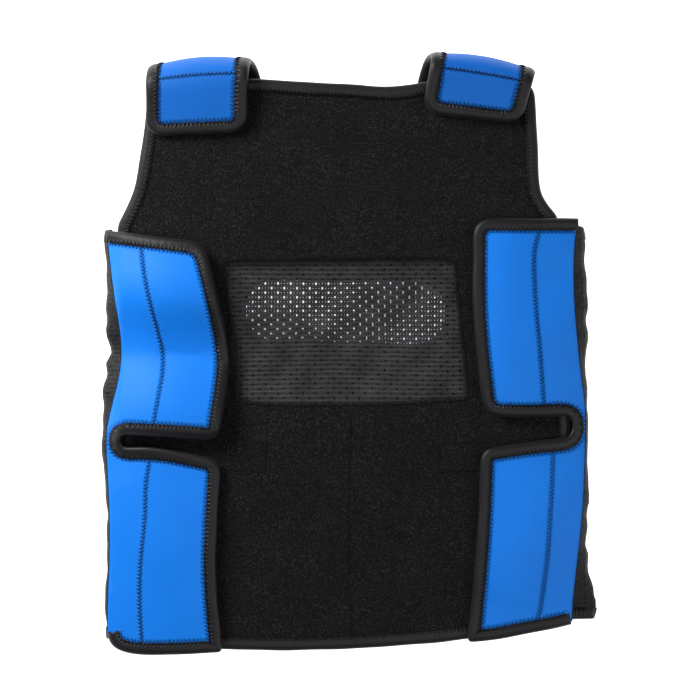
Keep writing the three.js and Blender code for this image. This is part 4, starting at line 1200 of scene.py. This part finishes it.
# lays a net on a support: a grid of places, rows by columns, and the flat size that it was cut to
def makeNet(name, places, flatWidth, flatHeight, cell, look="net"):
    rows, columns = places.shape[:2]
    faces = []
    for j in range(rows - 1):
        for i in range(columns - 1):
            a = j * columns + i
            faces.append([a, a + 1, a + 1 + columns, a + columns])
    mesh = bpy.data.meshes.new(name + "Support")
    mesh.from_pydata(toFrame(places.reshape(-1, 3)).tolist(), [], faces)
    layer = mesh.attributes.new("supportMap", "FLOAT_VECTOR", "POINT")
    u, v = np.meshgrid(np.linspace(0, 1, columns), np.linspace(0, 1, rows))
    layer.data.foreach_set("vector", np.stack([u, v, np.zeros_like(u)], -1).ravel())
    support = bpy.data.objects.new(name + "Support", mesh)
    bpy.context.scene.collection.objects.link(support)
    piece = bpy.data.objects.new(name, bpy.data.meshes.new(name))
    bpy.context.scene.collection.objects.link(piece)
    across = int(round(flatWidth / netCell["width"]))
    down = int(round(flatHeight / netCell["height"]))
    bakeTree(piece, netTree, {
        "Cell": cell, "Support": support, "Columns": across, "Rows": down,
        "Cell Width": netCell["width"] * 0.001, "Cell Height": netCell["height"] * 0.001,
        "Material": looks[look],
    })
    wall = piece.modifiers.new("wall", "SOLIDIFY")
    wall.thickness = netCell["wall"] * 0.001
    wall.offset = -1
    bpy.context.view_layer.update()
    made = bpy.data.meshes.new_from_object(piece.evaluated_get(bpy.context.evaluated_depsgraph_get()))
    piece.modifiers.remove(wall)
    old = piece.data
    piece.data = made
    bpy.data.meshes.remove(old)
    bpy.data.objects.remove(support)
    piece.data.polygons.foreach_set("use_smooth", [False] * len(piece.data.polygons))
    return piece


def place(piece, slot, *nodes):
    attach(piece, "root")
    if nodes:
        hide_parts(*nodes)
    return piece


# The front panel: its window cut out, one tape round it, and the seams that cross it.
frontSeams = {
    "centre": table(["x", "y"], [
        [0.003, 0.405], [0.003, 0.372], [-0.001, 0.288], [-0.001, 0.122], [0.005, 0.030],
    ]),
    "patchRight": table(["x", "y"], [[-0.256, 0.358], [-0.167, 0.350], [-0.169, 0.303], [-0.256, 0.307]]),
    "patchLeft": table(["x", "y"], [[0.262, 0.352], [0.181, 0.350], [0.181, 0.303], [0.262, 0.306]]),
}


def straightLine(rows, step=1.0):
    points = flatPoints(rows)
    return evenPoints(points, int(runLengths(points)[-1] / step) + 1)


frontPath = edgePath(outlines["front"], True)
frontTurn = np.sign(area(frontPath))
frontCut = frontPath + leftNormals(frontPath, True) * frontTurn * cutInset
windowPath = edgePath(outlines["window"], True)
frontPanel = makeCloth(
    "frontPanel", frontCut, [windowPath], chestSurface, 0.0, cloth["panel"], frontLook["grid"],
    looks["loop"], looks["lining"],
)
place(frontPanel, "loop_cloth", "front_panel")
frontTape = makeTape("frontBinding", frontPath, chestSurface, frontTurn, cloth["panel"], looks["tape"], True)
place(frontTape, "tape", "front_binding")
lines = []
line, normals = besidePath(frontPath, frontTurn, cloth["tapeWidth"] + stitchLook["panelInset"], True)
lines.append((line, normals, chestSurface, cloth["panel"] + stitchLook["onTape"]))
place(makeBindingStitches("frontStitches", lines), "tape")
lines = []
for rows in frontSeams.values():
    line = straightLine(rows)
    lines.append((line, leftNormals(line, False), chestSurface, cloth["panel"] + stitchLook["onLoop"]))
windowTurn = np.sign(area(windowPath))
line, normals = besidePath(windowPath, -windowTurn, frontLook["windowSeam"], True)
lines.append((line, normals, chestSurface, cloth["panel"] + stitchLook["onLoop"]))
seams = makeStitches(
    "frontSeams", lines, stitchLook["running"], stitchLook["runningWidth"], stitchLook["runningThread"]
)
place(seams, "tape")
print("front panel done")

# The chest net hangs a little slack in its window, in shallow waves.
netCells = {kind: makeNetCell(kind) for kind in netHoles}
chestNet = {
    "x": (-0.272, 0.258), "y": (0.398, 0.672), "middle": (-0.007, 0.535), "half": (0.24, 0.118),
    "slack": 2.2, "waves": 0.8, "down": 1.4, "sideways": 0.5, "gap": 0.2,
}


def chestNetSurface(x, y):
    base = chestSurface(x, y, -cloth["clearance"])
    u = (x / vest["width"] - chestNet["middle"][0]) / chestNet["half"][0]
    v = (y / vest["length"] - chestNet["middle"][1]) / chestNet["half"][1]
    inside = np.clip(1 - np.abs(u) ** 3, 0, 1) * np.clip(1 - np.abs(v) ** 3, 0, 1)
    slack = chestNet["slack"] * inside * (1 - 0.35 * np.cos(3.1 * u + 0.6) * np.sin(2.2 * v))
    waves = chestNet["waves"] * inside * (np.sin(9 * u + 5 * v) + 0.7 * np.sin(17 * u - 6 * v + 1))
    base[..., 2] -= slack + waves + chestNet["gap"]
    base[..., 1] -= chestNet["down"] * inside * np.cos(2.6 * u + 0.3) * (v - 0.3)
    base[..., 0] += chestNet["sideways"] * inside * np.sin(4.3 * u + 3.0 * v + 0.8)
    return base


netX, netY = np.meshgrid(
    np.linspace(chestNet["x"][0] * vest["width"], chestNet["x"][1] * vest["width"], 140),
    np.linspace(chestNet["y"][0] * vest["length"], chestNet["y"][1] * vest["length"], 90),
)
netWidth = (chestNet["x"][1] - chestNet["x"][0]) * vest["width"]
netHeight = (chestNet["y"][1] - chestNet["y"][0]) * vest["length"]
frontNet = makeNet("chestNet", chestNetSurface(netX, netY), netWidth, netHeight, netCells["chest"])
place(frontNet, "net_cloth", "front_mesh_window")
print("chest net done")

# The wings: one piece of cloth each, taped round both flaps and the slot between them.
wingSeams = {
    "Right": [
        table(["x", "y"], [[-0.417, 0.680], [-0.409, 0.630], [-0.396, 0.577], [-0.383, 0.535],
                           [-0.373, 0.497], [-0.373, 0.467], [-0.379, 0.435], [-0.390, 0.385]]),
        table(["x", "y"], [[-0.400, 0.320], [-0.407, 0.283], [-0.409, 0.230], [-0.414, 0.188],
                           [-0.419, 0.145], [-0.421, 0.088], [-0.417, 0.018]]),
    ],
    "Left": [
        table(["x", "y"], [[0.384, 0.706], [0.373, 0.668], [0.373, 0.615], [0.377, 0.562],
                           [0.383, 0.508], [0.387, 0.467], [0.392, 0.412]]),
        table(["x", "y"], [[0.411, 0.336], [0.407, 0.262], [0.403, 0.210], [0.399, 0.162],
                           [0.393, 0.122], [0.385, 0.075], [0.378, 0.052]]),
    ],
}


def makeWing(sideName, nodeSide):
    bound = edgePath(outlines["wing" + sideName])
    seam = edgePath(outlines["seam" + sideName])
    turn = np.sign(area(np.vstack([bound, seam[1:-1]])))
    cut = bound + leftNormals(bound, False) * turn * cutInset
    wing = makeCloth(
        "wing" + sideName, np.vstack([cut, seam[1:-3]]), [], wingSurface, 0.0, cloth["panel"],
        wingLook["grid"], looks["blue"], looks["lining"],
    )
    place(wing, "blue_cloth", "wing_" + nodeSide)
    tape = makeTape("wingBinding" + sideName, bound, wingSurface, turn, cloth["panel"], looks["tape"])
    place(tape, "tape", "wing_binding_" + nodeSide)
    line, normals = besidePath(bound, turn, cloth["tapeWidth"] + stitchLook["wingInset"])
    held = [(line[2:-2], normals[2:-2], wingSurface, cloth["panel"] + stitchLook["onTape"])]
    place(makeBindingStitches("wingStitches" + sideName, held), "tape")
    lines = []
    for rows in wingSeams[sideName]:
        places, _ = smoothLine(flatPoints(rows), 30)
        normals = leftNormals(places, False)
        lines.append((places, normals, wingSurface, cloth["panel"] + stitchLook["onCloth"]))
    place(makeStitches("wingSeam" + sideName, lines, stitchLook["seam"], stitchLook["seamWidth"]), "tape")
    markStitches(
        wing,
        [part + (stitchLook["binding"], stitchLook["bindingWidth"]) for part in held]
        + [part + (stitchLook["seam"], stitchLook["seamWidth"]) for part in lines],
    )
    # the dark overlocked seam that joins the wing to the side net
    lines = [(seam[2:-2], leftNormals(seam, False)[2:-2], wingSurface, cloth["panel"] - overlock["sunk"])]
    joined = makeStitches(
        "sideSeam" + sideName, lines, overlock["pitch"], overlock["width"], overlock["thread"],
        overlock["rise"],
    )
    place(joined, "tape")


makeWing("Right", "right")
makeWing("Left", "left")
print("wings done")


# The shoulder straps, from the back seam over the shoulder to the tab on the chest.
def makeStrap(sideName, nodeSide):
    surface, length = makeStrapSurface(strapRows[sideName])
    half, corner, step = strapLook["halfWidth"], strapLook["corner"], strapLook["step"]
    turns = np.linspace(0, math.pi / 2, 12)
    rise = np.arange(0, length - corner, step)
    right = np.column_stack([np.full(len(rise), half), rise])
    roundRight = np.column_stack([
        half - corner + corner * np.cos(turns), length - corner + corner * np.sin(turns),
    ])
    across = np.arange(half - corner - step, -half + corner, -step)
    top = np.column_stack([across, np.full(len(across), length)])
    path = np.vstack([right, roundRight, top, roundRight[::-1] * [-1, 1], right[::-1] * [-1, 1]])
    path = evenPoints(path, int(runLengths(path)[-1] / step) + 1)
    cut = path + leftNormals(path, False) * cutInset
    cut[0, 1] = cut[-1, 1] = 0.0
    strap = makeCloth(
        "shoulderStrap" + sideName, cut, [], surface, 0.0, cloth["panel"], strapLook["grid"],
        looks["strapBluePaintedShade"], looks["lining"],
    )
    outwards(strap)
    place(strap, "blue_cloth", "shoulder_strap_" + nodeSide)
    tape = makeTape("strapBinding" + sideName, path, surface, 1, cloth["panel"], looks["tape"])
    place(tape, "tape", "strap_binding_" + nodeSide)
    line, normals = besidePath(path, 1, cloth["tapeWidth"] + stitchLook["wingInset"])
    held = [(line[2:-2], normals[2:-2], surface, cloth["panel"] + stitchLook["onTape"])]
    place(makeBindingStitches("strapStitches" + sideName, held), "tape")
    seamAlong = length - strapLook["seamFromEnd"][sideName]
    across = np.arange(-half + 7, half - 6.9, 1.0)
    line = np.column_stack([across, np.full(len(across), seamAlong)])
    lines = [(line, leftNormals(line, False), surface, cloth["panel"] + stitchLook["onCloth"])]
    seam = makeStitches(
        "strapSeam" + sideName, lines, stitchLook["seam"], strapLook["seamWidth"], strapLook["seamThread"]
    )
    place(seam, "tape")
    markStitches(strap, [
        held[0] + (stitchLook["binding"], stitchLook["bindingWidth"]),
        lines[0] + (stitchLook["seam"], strapLook["seamWidth"]),
    ])


makeStrap("Right", "right")
makeStrap("Left", "left")
print("straps done")


# The side nets, from under each wing's seam round to the back panel.
meshDrop = cloth["clearance"] + foldOut
# rows a step apart and columns round the side, the net's crumples and pleats, how its top is drawn towards
# the strap, and the columns between which its edge tapes run
sideLook = {
    "step": 2.5, "columns": 61, "crumple": 0.8, "crumpleUp": 0.5, "pleat": 1.6, "drawnUp": 7.5,
    "hemRows": 3, "tapeFrom": 5, "tapeTo": 55, "tapeRadius": 1.5,
}


def makeSideSurface(sideName):
    side = 1 if sideName == "Left" else -1
    seam = outlines["seam" + sideName]
    seamX = columnCurve(seam, "x", "y")
    bulgeX = columnCurve(bulges[sideName], "x", "y")
    bottom, top = bulges[sideName]["y"][0] * vest["length"], bulges[sideName]["y"][-1] * vest["length"]
    backEdge = side * vest["backWidth"] / 2

    def section(y):
        edge = float(seamX(y / vest["length"])) * vest["width"]
        belly = float(bulgeX(y / vest["length"])) * vest["width"]
        start = wingSurface(np.array(edge - side * 5.0), np.array(y), -meshDrop - 0.7)
        under = wingSurface(np.array(edge - side * 1.5), np.array(y), -meshDrop - 2.1)
        fromTape = min(y - bottom, top - y) / cloth["tapeWidth"]
        overTape = foldOut * (1 - smoothstep(fromTape, 1, 3))
        landing = float(backHeight(np.array(backEdge), y)) + cloth["panel"]
        landing = landing + overTape + cloth["clearance"] + 1
        drop = under[2] - landing
        line, _ = smoothLine([
            start, under,
            [belly - side * 0.03 * drop, y, under[2] - 0.32 * drop],
            [belly - side * 0.06 * drop, y, under[2] - 0.6 * drop],
            [(belly + backEdge) / 2, y, landing + 0.1 * drop],
            [backEdge + side, y, landing],
            [backEdge - side * 5.0, y, landing],
        ], 12)
        return evenPoints(line, sideLook["columns"])

    rows = np.arange(bottom, top + 0.01, sideLook["step"])
    return np.stack([section(y) for y in rows]), rows


def makeSide(sideName, nodeSide):
    places, rows = makeSideSurface(sideName)
    y = rows[:, None]
    share = np.linspace(0, 1, places.shape[1])[None]
    middle = np.sin(math.pi * share) ** 2
    crumple = 1.1 * np.sin(y / 6.1 + 3 * share + np.sin(y / 19)) + 0.8 * np.sin(y / 3.3 - 5 * share)
    side = 1 if sideName == "Left" else -1
    nearTop = smoothstep(y, rows[-1] - 45, rows[-1])
    places[..., 1] += sideLook["drawnUp"] * nearTop * (1 - smoothstep(share, 0.15, 0.8))
    places[..., 0] += side * middle * np.minimum(crumple, 0.9) * sideLook["crumple"]
    pleats = np.abs(np.sin(y / 5.2 + 1.4 * np.sin(y / 13) + 1.5 * share))
    places[..., 2] += middle * (crumple * sideLook["crumpleUp"] + sideLook["pleat"] * pleats)
    lengths = np.linalg.norm(np.diff(places, axis=1), axis=-1).sum(axis=1)
    if sideName == "Left":
        places = places[:, ::-1]
    hem = sideLook["hemRows"]
    wide, high = float(lengths.mean()), float(rows[-1 - hem] - rows[hem])
    net = makeNet("sideNet" + sideName, places[hem:-hem], wide, high, netCells["side"], "slackNet")
    place(net, "net_cloth", "side_mesh_" + nodeSide)
    if sideName == "Left":
        places = places[:, ::-1]
    # the taped top and bottom edges
    taped = slice(sideLook["tapeFrom"], sideLook["tapeTo"])
    for label, node, rowsUsed in (
        ("armpitBinding", "armpit_binding_", places[::-1][:5]),
        ("sideHemBinding", "side_hem_binding_", places[:5]),
    ):
        line = rowsUsed[0][taped]
        inward = rowsUsed[4][taped] - line
        inward /= np.linalg.norm(inward, axis=1, keepdims=True)
        tangent = np.gradient(line, axis=0)
        normal = np.cross(tangent, inward)
        normal /= np.linalg.norm(normal, axis=1, keepdims=True)
        turns = np.linspace(-math.pi / 2, math.pi / 2, 9)
        radius = sideLook["tapeRadius"]
        width = cloth["tapeWidth"]
        section = [(width, radius), (5.0, radius + 0.2)]
        section += [(1.6 - 1.6 * math.cos(t), radius * -math.sin(t)) for t in turns]
        section += [(5.0, -radius - 0.2), (width, -radius), (width, -radius + 0.7)]
        section += [(3.0, -0.7), (3.0, 0.7), (width, radius - 0.7)]
        ring = np.array(section)
        points = line[:, None] + inward[:, None] * ring[None, :, :1] + normal[:, None] * ring[None, :, 1:]
        faces = tubeFaces(len(ring), len(line))
        flat = np.stack(np.meshgrid(runLengths(line), np.arange(len(ring)) * 2.0, indexing="ij"), -1)
        flat = flat.reshape(-1, 2)
        tape = newPiece(label + sideName, toFrame(points.reshape(-1, 3)), faces, [looks["tape"]], None, flat)
        place(outwards(tape), "tape", node + nodeSide)


makeSide("Right", "right")
makeSide("Left", "left")
print("side nets done")

# The back panel, with its oval net window and its taped neck, armholes and hem.
strapEnds = {name: makeStrapSurface(strapRows[name])[0] for name in ("Right", "Left")}


def strapCorner(sideName, across, inset=0.0):
    aside = across * (strapLook["halfWidth"] - inset)
    spot = strapEnds[sideName](np.array(aside), np.array(0.0), np.array(0.0))
    return [float(spot[0]) / vest["width"], (float(spot[1]) - cloth["clearance"]) / vest["length"]]


def rowsOf(points):
    return table(outlineColumns, points)


backEdges = {
    "back_neck_binding": rowsOf([
        strapCorner("Left", -1) + [0], [0.132, 0.824, 1.6], [-0.018, 0.814, soft], [-0.172, 0.824, 1.6],
        strapCorner("Right", 1) + [0],
    ]),
    "back_armhole_binding_right": rowsOf([
        strapCorner("Right", -1) + [0], [-0.376, 0.810, soft], [-0.376, 0.735, soft], [-0.399, 0.700, 0],
    ]),
    "back_hem_binding": outlines["backHem"],
    "back_armhole_binding_left": rowsOf([
        [0.399, 0.706, 0], [0.350, 0.740, soft], [0.336, 0.810, soft], strapCorner("Left", 1) + [0],
    ]),
}
names = {
    "back_neck_binding": "backNeckBinding", "back_armhole_binding_right": "backArmholeBindingRight",
    "back_hem_binding": "backHemBinding", "back_armhole_binding_left": "backArmholeBindingLeft",
}
cuts, lines = {}, []
for node, rows in backEdges.items():
    path = edgePath(rows)
    tape = makeTape(names[node], path, backSurface, 1, cloth["panel"], looks["tape"])
    place(tape, "tape", node)
    cuts[node] = path + leftNormals(path, False) * cutInset
    line, normals = besidePath(path, 1, cloth["tapeWidth"] + stitchLook["panelInset"])
    lines.append((line[2:-2], normals[2:-2], backSurface, cloth["panel"] + stitchLook["onTape"]))
    lines.append((line[2:-2], normals[2:-2], lambda x, y, h: backSurface(x, y, -h), 0.28))
place(makeBindingStitches("backStitches", lines), "tape")
backLines = [part + (stitchLook["binding"], stitchLook["bindingWidth"]) for part in lines]


def seamPoint(sideName, across):
    spot = strapCorner(sideName, across, cutInset)
    return np.array([[spot[0] * vest["width"], spot[1] * vest["length"]]])


backOutline = np.vstack([
    seamPoint("Left", -1), cuts["back_neck_binding"][3:-3], seamPoint("Right", 1),
    seamPoint("Right", -1), cuts["back_armhole_binding_right"][3:], cuts["back_hem_binding"],
    cuts["back_armhole_binding_left"][:-3], seamPoint("Left", 1),
])
backWindow = {
    "x": -0.006, "y": 0.569, "length": 151.0, "height": 46.0, "tilt": -1.2,
    "netWidth": 170.0, "netHeight": 74.0, "netTilt": 1.2, "netLift": 1.3, "grid": 4.5,
}
radius = backWindow["height"] / 2
reach = backWindow["length"] / 2 - radius
turns = np.linspace(-math.pi / 2, math.pi / 2, 30)
rightEnd = np.column_stack([reach + radius * np.cos(turns), radius * np.sin(turns)])
oval = np.vstack([rightEnd, -rightEnd])
lean = math.radians(backWindow["tilt"])
oval = oval @ np.array([[math.cos(lean), math.sin(lean)], [-math.sin(lean), math.cos(lean)]])
oval = oval + [backWindow["x"] * vest["width"], backWindow["y"] * vest["length"]]
backPanel = makeCloth(
    "backPanel", backOutline, [oval], backSurface, 0.0, cloth["panel"], backWindow["grid"],
    looks["lining"], looks["blue"],
)
markStitches(backPanel, backLines)
place(backPanel, "blue_cloth", "back_panel")
middleX, middleY = oval.mean(axis=0)
wide, high = backWindow["netWidth"], backWindow["netHeight"]
flatX, flatY = np.meshgrid(np.linspace(-wide / 2, wide / 2, 60), np.linspace(-high / 2, high / 2, 30))
tilt = math.radians(backWindow["netTilt"])
turnedX = middleX + flatX * math.cos(tilt) - flatY * math.sin(tilt)
turnedY = middleY + flatX * math.sin(tilt) + flatY * math.cos(tilt)
backPlaces = backSurface(turnedX, turnedY, cloth["panel"] + backWindow["netLift"])
backNet = makeNet("backNet", backPlaces, wide, high, netCells["back"])
place(backNet, "net_cloth", "back_mesh_window")
for cell in netCells.values():
    bpy.data.objects.remove(cell)
print("back panel done")

# A white table, lit like a photographer's sweep, so that it shows through both nets.
floorMaterial, floorTree = newMaterial("whiteTable")
floorShader = addNode(floorTree, "ShaderNodeBsdfPrincipled", None, {
    "Base Color": colour("#f6f6f6"), "Roughness": 0.9, "Emission Color": colour("#ffffff"),
    "Emission Strength": 1.0,
})
finishMaterial(floorTree, floorShader)
bpy.ops.mesh.primitive_plane_add(size=12.0, location=(0, 0, -0.0002))
floor = bpy.context.object
floor.name = "whiteTable"
floor.data.materials.append(floorMaterial)

lights = {
    "windowLeft": {"place": (-1.05, 0.85, 0.8), "size": 0.7, "power": 35.0},
    "overhead": {"place": (0.1, -0.4, 2.2), "size": 1.4, "power": 12.0},
    "fillRight": {"place": (1.4, -0.5, 1.2), "size": 1.2, "power": 13.0},
}
for name, light in lights.items():
    lamp = bpy.data.lights.new(name, "AREA")
    lamp.energy = light["power"]
    lamp.size = light["size"]
    holder = bpy.data.objects.new(name, lamp)
    holder.location = light["place"]
    holder.rotation_euler = Vector(light["place"]).to_track_quat("Z", "Y").to_euler()
    bpy.context.scene.collection.objects.link(holder)
world = bpy.data.worlds.new("studio")
bpy.context.scene.world = world
world.use_nodes = True
world.node_tree.nodes["Background"].inputs["Color"].default_value = (1, 1, 1, 1)
world.node_tree.nodes["Background"].inputs["Strength"].default_value = 0.08
bpy.context.scene.view_settings.view_transform = "Standard"

# the camera looks straight down from far off, the photograph's frame 522 mm across at the chest
view = {"away": 2.8, "across": 0.522, "level": 0.04, "aimX": 0.0004, "aimY": 0.0034}
cameraData = bpy.data.cameras.new("overheadCamera")
cameraData.sensor_width = 36.0
cameraData.lens = 36.0 * view["away"] / view["across"]
cameraData.clip_end = 50.0
camera = bpy.data.objects.new("overheadCamera", cameraData)
camera.location = (view["aimX"], view["aimY"], view["level"] + view["away"])
bpy.context.scene.collection.objects.link(camera)
bpy.context.scene.camera = camera

print("scene ready")
